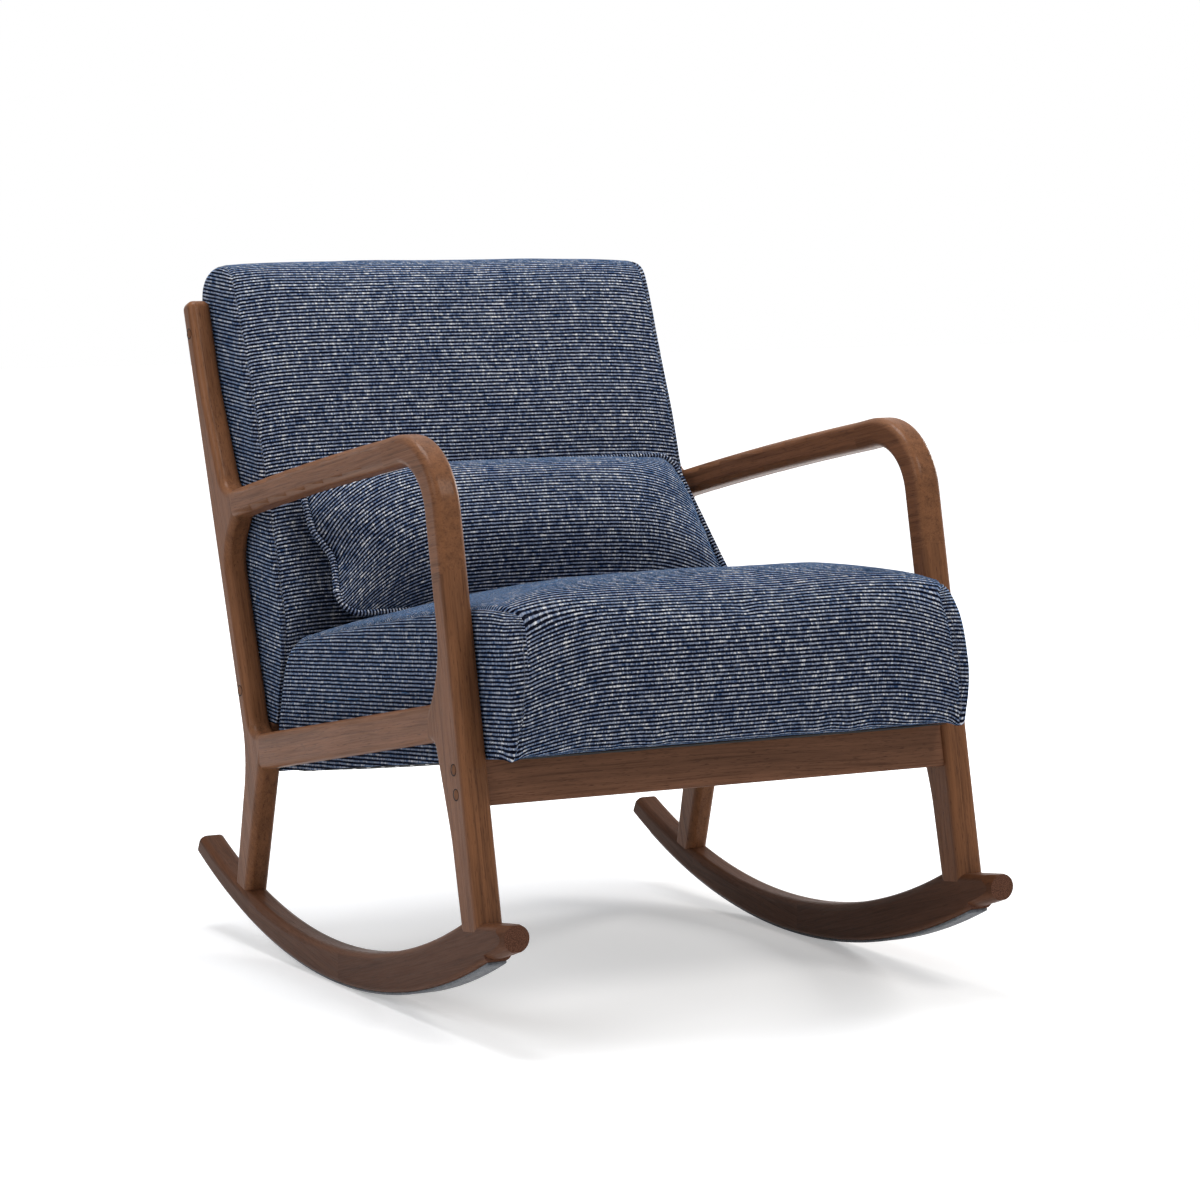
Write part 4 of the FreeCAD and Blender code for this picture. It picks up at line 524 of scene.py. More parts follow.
@dataclass(frozen=True)
class WoodFinish:
    """Walnut-brown stained wood. The grain runs at an angle from +Z towards +Y, or along X."""

    name: str
    angle: float = 0.0
    along_x: bool = False
    grain: Grain = Grain.STRAIGHT
    bend_centre: tuple = (0.0, 0.0)
    bend_lean: float = 0.0
    seed: float = 0.0
    # face colours the faces that look along X, edge the other faces and rounded edges; the lighter edge
    # tone is painted light.
    face: tuple = (0.21, 0.087, 0.041, 1)
    edge: tuple = (0.225, 0.094, 0.041, 1)
    dark: tuple = (0.042, 0.016, 0.0075, 1)
    contrast: float = 1.0
    coat: float = 0.1
    gloss: float = 0.08
    depth: float = 0.0002

    def place_in_wood(self, w: Wiring) -> bpy.types.NodeSocket:
        """Turn the object's own coordinates so that Z runs along the grain.

        Args:
            w: the material's wiring.

        Returns:
            The turned place.
        """
        spot = w.split(w.add("ShaderNodeTexCoord").outputs["Object"])
        if self.along_x:
            return w.join(spot[1], spot[2], spot[0])
        sine, cosine = math.sin(self.angle), math.cos(self.angle)
        if self.grain is Grain.STRAIGHT:
            cross = w.minus(w.times(spot[1], cosine), w.times(spot[2], sine))
            return w.join(spot[0], cross, w.plus(w.times(spot[1], sine), w.times(spot[2], cosine)))
        y = w.minus(spot[1], self.bend_centre[0])
        z = w.minus(spot[2], self.bend_centre[1])
        forward = w.minus(w.times(z, sine), w.times(y, cosine))
        upward = w.plus(w.times(z, math.cos(self.bend_lean)), w.times(y, math.sin(self.bend_lean)))
        ahead, above = w.math("MAXIMUM", forward, 0.0), w.math("MAXIMUM", upward, 0.0)
        radius = w.math("SQRT", w.plus(w.times(ahead, ahead), w.times(above, above)))
        inside = w.math("MINIMUM", w.math("MAXIMUM", forward, upward), 0.0)
        return w.join(spot[0], w.plus(radius, inside), w.plus(y, z))

    def make(self, effects: Effects) -> bpy.types.Material:
        """Build the material.

        Args:
            effects: the shared node groups.

        Returns:
            The material.
        """
        w, shader, material = start_material(self.name, Coat_Weight=self.coat, Coat_Roughness=0.16,
                                             Specular_IOR_Level=self.gloss)
        wood = w.place(effects.grain, Place=self.place_in_wood(w), Seed=self.seed, Face=self.face,
                       Edge=self.edge, Dark=self.dark, Contrast=self.contrast, End=self.end_grain(w))
        feed_surface(w, shader, wood["Colour"], wood["Roughness"], wood["Height"], self.depth)
        return material

    def end_grain(self, w: Wiring) -> object:
        """Find where the surface cuts across the grain.

        Args:
            w: the material's wiring.

        Returns:
            A mask, or 0 for a bent piece, whose ends are both joints.
        """
        if self.grain is Grain.BENT:
            return 0.0
        along = (1.0, 0.0, 0.0) if self.along_x else (0.0, math.sin(self.angle), math.cos(self.angle))
        facing = w.vector("DOT_PRODUCT", w.add("ShaderNodeNewGeometry").outputs["Normal"], along)
        return w.spread(w.math("ABSOLUTE", facing), 0.86, 0.94)


@dataclass(frozen=True)
class MottledFinish:
    """A surface of two mottled colours, for felt, foam, plastic, cloth tape and bare metal."""

    name: str
    first: tuple
    second: tuple
    coarse: float = 60.0
    fine: float = 900.0
    roughness: float = 0.9
    metallic: float = 0.0
    depth: float = 0.0004
    sheen: float = 0.0

    def make(self, effects: Effects) -> bpy.types.Material:
        """Build the material.

        Args:
            effects: the shared node groups.

        Returns:
            The material.
        """
        w, shader, material = start_material(self.name, Metallic=self.metallic, Sheen_Weight=self.sheen)
        place = w.add("ShaderNodeTexCoord").outputs["Object"]
        skin = w.place(effects.speckle, Place=place, Coarse=self.coarse, Fine=self.fine,
                       First=self.first, Second=self.second)
        smoothest, roughest = self.roughness * 0.85, min(1.0, self.roughness * 1.1)
        rough = w.spread(skin["Mask"], 0.0, 1.0, smoothest, roughest)
        feed_surface(w, shader, skin["Colour"], rough, skin["Height"], self.depth)
        return material


@dataclass(frozen=True)
class PlugFinish:
    """Stained wood with a dark ring round each plug: a glue line with painted shade in its groove, wider on
    one side as a painted shadow.
    """

    name: str
    middles: tuple
    radius: float = 0.007
    # shift moves the ring off the plug's middle, so that the dark rim is wider on one side: a painted
    # shadow.
    shift: tuple = (-0.0007, 0.0003)
    ring_from: float = 0.68
    ring_to: float = 0.9
    face: tuple = (0.19, 0.075, 0.03, 1)
    dark: tuple = (0.012, 0.005, 0.003, 1)
    depth: float = 0.0006

    def make(self, effects: Effects) -> bpy.types.Material:
        """Build the material.

        Args:
            effects: the shared node groups.

        Returns:
            The material.
        """
        w, shader, material = start_material(self.name, Specular_IOR_Level=0.05)
        place = w.add("ShaderNodeTexCoord").outputs["Object"]
        flat = w.vector("MULTIPLY", place, (0.0, 1.0, 1.0))
        wood = w.place(effects.grain, Place=place, Seed=13.0, Face=self.face, Edge=self.face,
                       Dark=self.dark, Contrast=0.7, End=0.0)
        nearest = 1.0
        for y, z in self.middles:
            gap = w.vector("DISTANCE", flat, (0.0, y + self.shift[0], z + self.shift[1]))
            nearest = w.math("MINIMUM", gap, nearest)
        # Beyond the ring's inner edge each plug goes dark: a glue line and painted shade.
        ring = w.spread(nearest, self.radius * self.ring_from, self.radius * self.ring_to)
        colour = w.mix(ring, wood["Colour"], self.dark)
        feed_surface(w, shader, colour, wood["Roughness"], w.minus(1.0, ring), self.depth, 1.0)
        return material


def smooth_loop(points: np.ndarray, rounds: int, held: np.ndarray) -> np.ndarray:
    """Smooth a closed loop of points.

    Args:
        points: the points, one row each.
        rounds: how many times each point moves to the middle of its neighbours.
        held: how strongly each point keeps its place, from 0 to 1.

    Returns:
        The smoothed points.
    """
    keep = held[:, None]
    for _ in range(rounds):
        middle = 0.25 * np.roll(points, 1, 0) + 0.5 * points + 0.25 * np.roll(points, -1, 0)
        points = keep * points + (1 - keep) * middle
    return points


def run_along(line: np.ndarray) -> np.ndarray:
    """How far each point of a line lies along it."""
    return np.concatenate(((0.0,), np.cumsum(np.linalg.norm(np.diff(line, axis=0), axis=1))))


def wave(u: float, v: float, seed: float) -> float:
    """A smooth random value near 0 at a place, the same in each run."""
    return noise.noise(Vector((u, v, seed)))


class Sewing:
    """A mesh in the making: places, faces and each face corner's place on the cloth."""

    def __init__(self) -> None:
        """Start with nothing."""
        self.places: list = []
        self.faces: list = []
        self.cloth: list = []

    def add(self, places: np.ndarray) -> np.ndarray:
        """Add places.

        Args:
            places: the places, in any arrangement.

        Returns:
            Their numbers in the same arrangement.
        """
        flat = places.reshape(-1, 3)
        first = len(self.places)
        self.places.extend(map(tuple, flat))
        return np.arange(first, first + len(flat)).reshape(places.shape[:-1])

    def quads(self, ranks: np.ndarray, cloth: np.ndarray, flip: bool = False) -> None:
        """Add the quads of a grid.

        Args:
            ranks: the numbers of the grid's places.
            cloth: each place's place on the cloth.
            flip: whether the faces turn the other way.
        """
        for i in range(ranks.shape[0] - 1):
            for j in range(ranks.shape[1] - 1):
                cells = [(i, j), (i, j + 1), (i + 1, j + 1), (i + 1, j)]
                if flip:
                    cells.reverse()
                self.faces.append([int(ranks[c]) for c in cells])
                self.cloth.append([tuple(cloth[c]) for c in cells])

    def fill(self, ranks: list, cloth: list, flip: bool = False) -> None:
        """Add one face over a loop of places.

        Args:
            ranks: the numbers of the loop's places.
            cloth: each place's place on the cloth.
            flip: whether the face turns the other way.
        """
        pairs = list(zip(ranks, cloth))
        if flip:
            pairs.reverse()
        self.faces.append([int(rank) for rank, _ in pairs])
        self.cloth.append([tuple(spot) for _, spot in pairs])

    def sheet(self, xs: np.ndarray, ys: np.ndarray, spot: Callable[[float, float, bool], tuple]) -> None:
        """Add a thin sheet over a grid: its two layers and its rim.

        Args:
            xs: the grid's places across.
            ys: the grid's places along.
            spot: gives a place from these two, on the inner layer or the outer one.
        """
        outer, inner = (self.add(np.array([[spot(x, y, layer) for x in xs] for y in ys]))
                        for layer in (True, False))
        cloth = np.stack(np.meshgrid(xs, ys), axis=2)
        self.quads(outer, cloth, flip=True)
        self.quads(inner, cloth)
        for first, second, spots in ((outer[0], inner[0], cloth[0]), (inner[-1], outer[-1], cloth[-1]),
                                     (inner[:, 0], outer[:, 0], cloth[:, 0]),
                                     (outer[:, -1], inner[:, -1], cloth[:, -1])):
            self.quads(np.stack((first, second)), np.stack((spots, spots)), flip=True)

    def finish(self, name: str) -> bpy.types.Object:
        """Make the object.

        Args:
            name: its name.

        Returns:
            The object, smooth shaded and with its cloth map.
        """
        mesh = bpy.data.meshes.new(name)
        mesh.from_pydata(self.places, [], self.faces)
        layer = mesh.uv_layers.new(name="cloth")
        flat = np.array([value for face in self.cloth for spot in face for value in spot], np.float32)
        layer.data.foreach_set("uv", flat)
        mesh.shade_smooth()
        thing = bpy.data.objects.new(name, mesh)
        bpy.context.scene.collection.objects.link(thing)
        return thing


def read_rows(thing: bpy.types.Object, label: str) -> np.ndarray:
    """Read one vector from each point of an object's mesh.

    Args:
        thing: the object.
        label: which vector is read, the place or the outward direction.

    Returns:
        The vectors, one row each.
    """
    flat = np.zeros(len(thing.data.vertices) * 3, np.float32)
    thing.data.vertices.foreach_get(label, flat)
    return flat.reshape(-1, 3).astype(float)


def read_places(thing: bpy.types.Object) -> np.ndarray:
    """The places of an object's mesh, one row each."""
    return read_rows(thing, "co")


def read_normals(thing: bpy.types.Object) -> np.ndarray:
    """The outward directions at an object's points, one row each."""
    return read_rows(thing, "normal")


def write_places(thing: bpy.types.Object, places: np.ndarray) -> None:
    """Move the points of an object's mesh to new places."""
    thing.data.vertices.foreach_set("co", places.astype(np.float32).ravel())
    thing.data.update()


def refine(thing: bpy.types.Object) -> None:
    """Make an object's mesh finer by one round of subdivision."""
    smoother = thing.modifiers.new("fine", "SUBSURF")
    smoother.levels = smoother.render_levels = 1


def settle(thing: bpy.types.Object, material: bpy.types.Material, body: str, slot: str,
           *nodes: str) -> None:
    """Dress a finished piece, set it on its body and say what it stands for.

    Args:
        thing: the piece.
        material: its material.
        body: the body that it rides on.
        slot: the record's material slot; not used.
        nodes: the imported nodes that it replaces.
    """
    thing.data.materials.append(material)
    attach(thing, body)
    if nodes:
        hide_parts(*nodes)
    LOG.info("%s rides on %s and stands for %s", thing.name, body, ", ".join(nodes) or "nothing packed")


def inflate(thing: bpy.types.Object, held: np.ndarray, pressure: float, cap: float,
            frames: int = 20) -> None:
    """Swell a closed cushion by a cloth simulation and keep its result in the mesh.

    Args:
        thing: the cushion.
        held: how firmly each point is held, from 0 to 1.
        pressure: the pressure inside.
        cap: how far a point may move.
        frames: how many frames the simulation runs.
    """
    start = read_places(thing)
    group = thing.vertex_groups.new(name="held")
    for level in np.unique(np.round(held, 2)):
        if level > 0:
            ranks = np.nonzero(np.abs(held - level) < 0.006)[0]
            group.add([int(rank) for rank in ranks], float(level), "REPLACE")
    cloth = thing.modifiers.new("cloth", "CLOTH")
    settings = cloth.settings
    settings.vertex_group_mass = "held"
    settings.quality = 6
    settings.mass = 0.25
    settings.tension_stiffness = settings.compression_stiffness = 18
    settings.shear_stiffness = 8
    settings.bending_stiffness = 2.5
    settings.use_pressure = True
    settings.uniform_pressure_force = pressure
    settings.effector_weights.gravity = 0
    cloth.collision_settings.use_collision = False
    scene = bpy.context.scene
    cloth.point_cache.frame_start, cloth.point_cache.frame_end = 1, frames
    for count in range(1, frames + 1):
        scene.frame_set(count)
    move = read_places(thing.evaluated_get(bpy.context.evaluated_depsgraph_get())) - start
    reach = np.linalg.norm(move, axis=1, keepdims=True)
    move *= np.minimum(1.0, cap / np.maximum(reach, 1e-9))
    thing.modifiers.remove(cloth)
    thing.vertex_groups.remove(group)
    write_places(thing, start + move)
    scene.frame_set(1)
    LOG.info("%s swelled by up to %.1f mm", thing.name, 1000 * float(np.linalg.norm(move, axis=1).max()))


def chain(steps: list) -> tuple[np.ndarray, list]:
    """Points along a closed outline whose sides bulge outwards.

    Args:
        steps: Y, Z, the bulge of the side that arrives there, and that side's number of points.

    Returns:
        The points, without the last side's end, and where each corner lies among them.
    """
    points, corners = [], []
    for step, following in zip(steps, steps[1:] + steps[:1]):
        near, far = np.array(step[:2]), np.array(following[:2])
        bulge, count = following[2:]
        way = (far - near) / np.linalg.norm(far - near)
        outwards = np.array((-way[1], way[0]))
        corners.append(len(points))
        for share in np.arange(count) / count:
            points.append(near + (far - near) * share + outwards * bulge * (1 - (2 * share - 1) ** 2))
    return np.array(points), corners


@dataclass
class SewnCushion:
    """A cushion of a wrapped main panel between two side panels, sewn along their edges."""

    half_width: float = 0.3002
    columns: tuple = (0.0, 0.0028, 0.0062, 0.011, 0.018, 0.027, 0.038, 0.051, 0.066)
    spacing: float = 0.0095
    clear: float = 0.03
    wrap_steps: int = 4
    levels: int = 41
    swell_power: float = 4.6
    swell_root: float = 2.5
    droop_depth: float = 0.004
    droop_reach: float = 0.06
    side_slope: float = 0.0
    rings: tuple = (0.03, 0.075, 0.14, 0.23, 0.35, 0.5, 0.68, 0.86, 0.96, 0.994)
    thing: bpy.types.Object = field(default=None, repr=False)

    def outline(self, swell: float) -> tuple[np.ndarray, list]:
        """The closed outline in Y and Z at a swell; a subclass gives it."""
        raise NotImplementedError

    def seam_inset(self, shares: np.ndarray) -> np.ndarray:
        """How far the seam lies in from the side, at shares of the way round the outline."""
        raise NotImplementedError

    def spine(self) -> tuple[np.ndarray, np.ndarray]:
        """The two ends of the line that a side panel's rings close on."""
        raise NotImplementedError

    def droop(self, inset: np.ndarray, share: np.ndarray) -> np.ndarray:
        """Find how far the ribs sink towards the seam.

        Args:
            inset: the distance in from the seam.
            share: the share of the way round the outline, for a subclass.

        Returns:
            How far they sink.
        """
        return self.droop_depth * np.clip(1 - inset / self.droop_reach, 0, 1) ** 2

    def firm_corners(self, count: int, corners: list) -> np.ndarray:
        """Hold the two lower corners, so that smoothing rounds them only a little.

        Args:
            count: the outline's number of points.
            corners: where each corner lies among them.

        Returns:
            How strongly each point keeps its place.
        """
        held = np.zeros(count)
        for corner in (corners[0], corners[-1]):
            for step, grip in ((0, 0.97), (1, 0.6), (-1, 0.6), (2, 0.3), (-2, 0.3)):
                held[(corner + step) % count] = grip
        return held

    def build(self, name: str) -> bpy.types.Object:
        """Build the cushion's mesh.

        Args:
            name: the object's name.

        Returns:
            The object.
        """
        flat_outline, corners = self.outline(0.0)
        full_outline, _ = self.outline(1.0)
        wrapped = corners[-1] + 1
        around = len(flat_outline)
        shares = np.minimum(np.arange(around) / (wrapped - 1), 1.0)
        inset = self.seam_inset(shares)
        inner = np.arange(self.columns[-1] + self.spacing, self.half_width, self.spacing)
        offsets = [*self.columns, *inner[inner < self.half_width - self.clear]]
        stack = np.array([self.outline(float(level))[0] for level in np.linspace(0, 1, self.levels)])
        sew = Sewing()

        def surface(x: np.ndarray) -> np.ndarray:
            """Find the places on the cushion's skin.

            Args:
                x: X for each point of the outline.

            Returns:
                The places, one row each.
            """
            share = np.abs(x / self.half_width)
            swell = np.clip(1 - share ** self.swell_power, 0, 1) ** (1 / self.swell_root)
            spot = swell * (self.levels - 1)
            low = np.clip(spot.astype(int), 0, self.levels - 2)
            part = (spot - low)[:, None]
            ring = np.arange(around)
            return np.column_stack((x, stack[low, ring] * (1 - part) + stack[low + 1, ring] * part))

        halves = self.half_width - inset
        xs = [-(halves - d) for d in offsets] + [np.zeros(around)] + [halves - d for d in reversed(offsets)]
        main = np.stack([surface(x) for x in xs], axis=1)
        wraps = np.linspace(0, 1, self.wrap_steps + 1)[1:]
        left = np.stack([surface(-(halves + inset * wrap)) for wrap in wraps], axis=1)
        self.main, self.wrapped = sew.add(main), wrapped
        self.left, self.right = sew.add(left), sew.add(left * np.array((-1.0, 1.0, 1.0)))
        run = run_along(full_outline)
        cloth = np.zeros(main.shape[:2] + (2,))
        for j, x in enumerate(xs):
            cloth[:, j, 0] = x
            cloth[:, j, 1] = run + self.droop(halves - np.abs(x), shares)
        sew.quads(self.main[:wrapped], cloth[:wrapped])
        under = np.concatenate((np.arange(wrapped - 1, around), (0,)))
        sew.quads(self.main[under], main[under][:, :, :2])
        for ranks, seam, sign in ((self.left, self.main[:, 0], -1.0), (self.right, self.main[:, -1], 1.0)):
            self.side_panel(sew, ranks, seam, sign, flat_outline, inset)
        self.thing = sew.finish(name)
        return self.thing

    def side_panel(self, sew: Sewing, ranks: np.ndarray, seam: np.ndarray, sign: float,
                   outline: np.ndarray, inset: np.ndarray) -> None:
        """Add a side panel: the strip that wraps round to the seam, and rings that close the side.

        Args:
            sew: the mesh in the making.
            ranks: the strip's points, from next to the seam to the side.
            seam: the seam's points.
            sign: -1 for the left side and 1 for the right.
            outline: the side's outline in Y and Z.
            inset: how far the seam lies in from the side.
        """
        closed = np.roll(outline, -1, 0) - np.roll(outline, 1, 0)
        way = closed / np.linalg.norm(closed, axis=1, keepdims=True)
        outwards = np.column_stack((-way[:, 1], way[:, 0]))
        strip = np.column_stack((seam, ranks))
        wraps = 1 - np.linspace(0, 1, self.wrap_steps + 1)
        upwards = np.maximum(outwards[:, 1], 0) ** 4
        stretch = np.column_stack((outwards[:, 0], upwards))
        cloth = np.stack([outline + stretch * (inset * s)[:, None] for s in wraps], axis=1)
        heights = np.array([[sew.places[rank][2] for rank in row] for row in strip])
        cloth[:, :, 1] += heights - outline[:, 1:]
        first, last = self.spine()
        line = last - first
        share = np.clip(((outline - first) @ line) / (line @ line), 0, 1)
        middle = first + share[:, None] * line
        loops, spots = [], []
        for ring in self.rings:
            yz = outline + (middle - outline) * ring
            loops.append(np.column_stack((np.full(len(yz), sign * self.half_width), yz)))
            spots.append(yz)
        numbers = sew.add(np.stack(loops, axis=1))
        strip = np.column_stack((strip, numbers))
        cloth = np.concatenate((cloth, np.stack(spots, axis=1)), axis=1)
        strip = np.concatenate((strip, strip[:1]))
        cloth = np.concatenate((cloth, cloth[:1]))
        cloth = self.side_cloth(cloth)
        sew.quads(strip, cloth, flip=sign < 0)
        sew.fill(list(numbers[:, -1]), list(cloth[:-1, -1]), flip=sign < 0)

    def side_cloth(self, spots: np.ndarray) -> np.ndarray:
        """Turn places in Y and Z into places on the side panel's cloth, whose ribs run at a slope."""
        y, z = spots[..., 0], spots[..., 1]
        return np.stack((y, z + self.side_slope * y), axis=-1)

    def hold(self) -> np.ndarray:
        """Hold the seams, sides and underside while the cushion swells.

        Returns:
            How firmly each point is held.
        """
        held = np.ones(len(self.thing.data.vertices))
        count = self.main.shape[1]
        for j in range(1, count - 1):
            grip = 0.0 if 3 <= j < count - 3 else 0.6
            held[self.main[2:self.wrapped - 2, j]] = grip
        return held

    def sink_seam(self, depth: float) -> None:
        """Draw the seams in and raise the cloth beside them.

        Args:
            depth: how far the seams are drawn in.
        """
        places, normals = read_places(self.thing), read_normals(self.thing)
        span = slice(0, self.wrapped)
        for columns, strip in (((0, 1, 2), self.left), ((-1, -2, -3), self.right)):
            for column, share in zip(columns, (-1.0, 0.25, 0.3)):
                ranks = self.main[span, column]
                places[ranks] += normals[ranks] * depth * share
            places[strip[span, 0]] += normals[strip[span, 0]] * depth * 0.1
        write_places(self.thing, places)

    def rumple(self, size: float, spread: float, seed: float) -> None:
        """Let the skin wander in and out a little, inwards only at its sides.

        Args:
            size: how far it wanders.
            spread: how many swings there are in a metre.
            seed: which pattern is used.
        """
        places, normals = read_places(self.thing), read_normals(self.thing)
        for rank, (spot, way) in enumerate(zip(places, normals)):
            value = noise.noise(Vector(spot * spread) + Vector((seed, 0, 0)))
            value += 0.5 * noise.noise(Vector(spot * spread * 2.3) + Vector((0, seed, 0)))
            if abs(way[0]) > 0.8:
                value = -abs(value)
            places[rank] = spot + way * size * value
        widest = self.half_width + 0.0002
        places[:, 0] = np.clip(places[:, 0], -widest, widest)
        write_places(self.thing, places)

    def finish(self, nodes: tuple, slot: str, material: bpy.types.Material, fill: float) -> None:
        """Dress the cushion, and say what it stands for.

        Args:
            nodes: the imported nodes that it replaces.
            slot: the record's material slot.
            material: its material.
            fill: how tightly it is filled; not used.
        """
        refine(self.thing)
        settle(self.thing, material, "root", slot, *nodes)


@dataclass
class SeatCushion(SewnCushion):
    """The thick sprung seat, whose main panel runs from its front edge over the top to its rear."""

    droop_depth: float = 0.017
    droop_reach: float = 0.115
    side_slope: float = 0.1
    droop_share: float = 0.2
    droop_fade: float = 0.04
    crown: float = 0.041
    front_foot: tuple = (-0.398, 0.319)
    front_top: tuple = (-0.392, 0.436)
    brow: tuple = (-0.352, 0.465)
    rear_top: tuple = (0.172, 0.375)
    rear_edge: tuple = (0.199, 0.354)
    rear_foot: tuple = (0.231, 0.2184)
    front_share: float = 0.17
    front_inset: tuple = (0.0075, 0.021)
    front_power: float = 0.8
    top_inset: tuple = (0.005, 0.0235)
    edge_share: float = 0.175
    edge_spread: float = 0.035
    spine_line: tuple = ((-0.325, 0.392), (0.15, 0.312))
    gather_depth: float = 0.0024
    gather_columns: int = 10
    hem_grips: tuple = (1.0, 0.9, 0.6, 0.35, 0.15)
    tip_reach: float = 0.0085
    tip_pull: tuple = (0.0, -0.003, -0.0085)

    def outline(self, swell: float) -> tuple[np.ndarray, list]:
        """The seat's outline, from its front foot round over the top.

        Args:
            swell: how far the cushion swells there, from 0 to 1.

        Returns:
            The points in Y and Z, and where each corner lies among them.
        """
        rise = self.crown * swell
        points, corners = chain([
            (*self.front_foot, 0.0, 66),
            (self.front_top[0] - 0.004 * swell, self.front_top[1] + rise * 0.52, 0.013, 15),
            (self.brow[0], self.brow[1] + rise, 0.011, 8),
            (self.rear_top[0], self.rear_top[1] + rise * 0.81, 0.006, 56),
            (self.rear_edge[0], self.rear_edge[1] + rise * 0.81, 0.004, 5),
            (*self.rear_foot, 0.0, 15)])
        held = np.zeros(len(points))
        held[corners[-1] + 3:] = 1
        return smooth_loop(points, 14, np.maximum(held, self.firm_corners(len(points), corners))), corners

    def seam_inset(self, shares: np.ndarray) -> np.ndarray:
        """Find where the seam lies: up to 30 mm in on the front, and on the edge over the top.

        Args:
            shares: shares of the way round the outline.

        Returns:
            The seam's distance in from the side at each.
        """
        least, more = self.front_inset
        front = least + more * np.clip(shares / self.front_share, 0, 1) ** self.front_power
        least, more = self.top_inset
        top = least + more * np.exp(-((shares - self.edge_share) / self.edge_spread) ** 2)
        return np.where(shares < self.front_share, front, top)

    def spine(self) -> tuple[np.ndarray, np.ndarray]:
        """The line along the middle of the side."""
        return np.array(self.spine_line[0]), np.array(self.spine_line[1])

    def droop(self, inset: np.ndarray, share: np.ndarray) -> np.ndarray:
        """Find how far the ribs sink towards the seam, which they only do on the front.

        Args:
            inset: the distance in from the seam.
            share: the share of the way round the outline.

        Returns:
            How far they sink.
        """
        return super().droop(inset, share) * np.clip((self.droop_share - share) / self.droop_fade, 0, 1)

    def gather(self) -> None:
        """Pull small gathers into the cloth beside the front seams, and wave its lower hem."""
        places, normals = read_places(self.thing), read_normals(self.thing)
        last, count = self.main.shape[1] - 1, self.gather_columns
        for sign, columns in ((-1, range(count)), (1, range(last, last - count, -1))):
            for step, j in enumerate(columns):
                fade = math.exp(-step / 3.2)
                for rank in self.main[:self.wrapped, j]:
                    spot = places[rank]
                    pleat = wave(spot[1] * 70 + spot[2] * 70, sign * 3.1 + step * 0.22, 1.5)
                    places[rank] = spot + normals[rank] * self.gather_depth * pleat * fade
        for row, grip in zip(self.main, self.hem_grips):
            for rank in row:
                x = places[rank][0]
                sink = 0.0026 * wave(x * 26, 0.3, 4.2) + 0.0014 * wave(x * 90, 0.7, 6.1)
                places[rank][2] += sink * grip
                places[rank][1] += 0.0018 * wave(x * 34, 2.3, 7.2) * grip
        for seam in (self.main[0, 0], self.main[0, -1]):
            gap = np.linalg.norm(places - places[seam], axis=1)
            places += np.exp(-(gap / self.tip_reach) ** 2)[:, None] * np.array(self.tip_pull)
        write_places(self.thing, places)


@dataclass
class BackCushion(SewnCushion):
    """The padded back, whose main panel runs up the front and over the top to the rear face."""

    side_slope: float = -0.06
    inset: float = 0.007
    spine_line: tuple = ((0.06, 0.045), (0.53, 0.043))
    crown: float = 0.013
    top_crown: float = 0.012
    height: float = 0.566
    thickness: float = 0.09
    front_foot: tuple = (0.2225, 0.2793)
    foot: tuple = (0.27168, 0.2793)
    sine: float = 0.32411
    cosine: float = 0.94602

    def spot(self, up: float, forward: float) -> tuple[float, float]:
        """Find a place in Y and Z.

        Args:
            up: how far up the rear face it lies.
            forward: how far forward of that face.

        Returns:
            Its Y and Z.
        """
        return (self.foot[0] - forward * self.cosine + up * self.sine,
                self.foot[1] + forward * self.sine + up * self.cosine)

    def outline(self, swell: float) -> tuple[np.ndarray, list]:
        """The back's outline, from its front foot up, over the top and down the rear.

        Args:
            swell: how far the cushion swells there, from 0 to 1.

        Returns:
            The points in Y and Z, and where each corner lies among them.
        """
        top = self.height + self.top_crown * swell
        shoulder = self.thickness + self.crown * 0.4 * swell
        points, corners = chain([
            (*self.front_foot, 0.0, 6),
            (*self.spot(0.086, 0.101), 0.0, 10),
            (*self.spot(0.538, shoulder), 0.004 + self.crown * swell, 50),
            (*self.spot(top, 0.066), 0.009, 7),
            (*self.spot(top, 0.024), 0.003, 6),
            (*self.spot(top - 0.024, 0.0), 0.007, 6),
            (*self.spot(0.0, 0.0), 0.0, 56)])
        return smooth_loop(points, 9, self.firm_corners(len(points), corners)), corners

    def seam_inset(self, shares: np.ndarray) -> np.ndarray:
        """The seam lies close to the side's edge all the way."""
        return np.full(len(shares), self.inset)

    def spine(self) -> tuple[np.ndarray, np.ndarray]:
        """The line up the middle of the side."""
        return np.array(self.spot(*self.spine_line[0])), np.array(self.spot(*self.spine_line[1]))



def fullness(share: float, curve: tuple) -> float:
    """How full a panel is at a share of the way to its edge, by a curve's power and root."""
    return (1 - abs(share) ** curve[0]) ** curve[1]


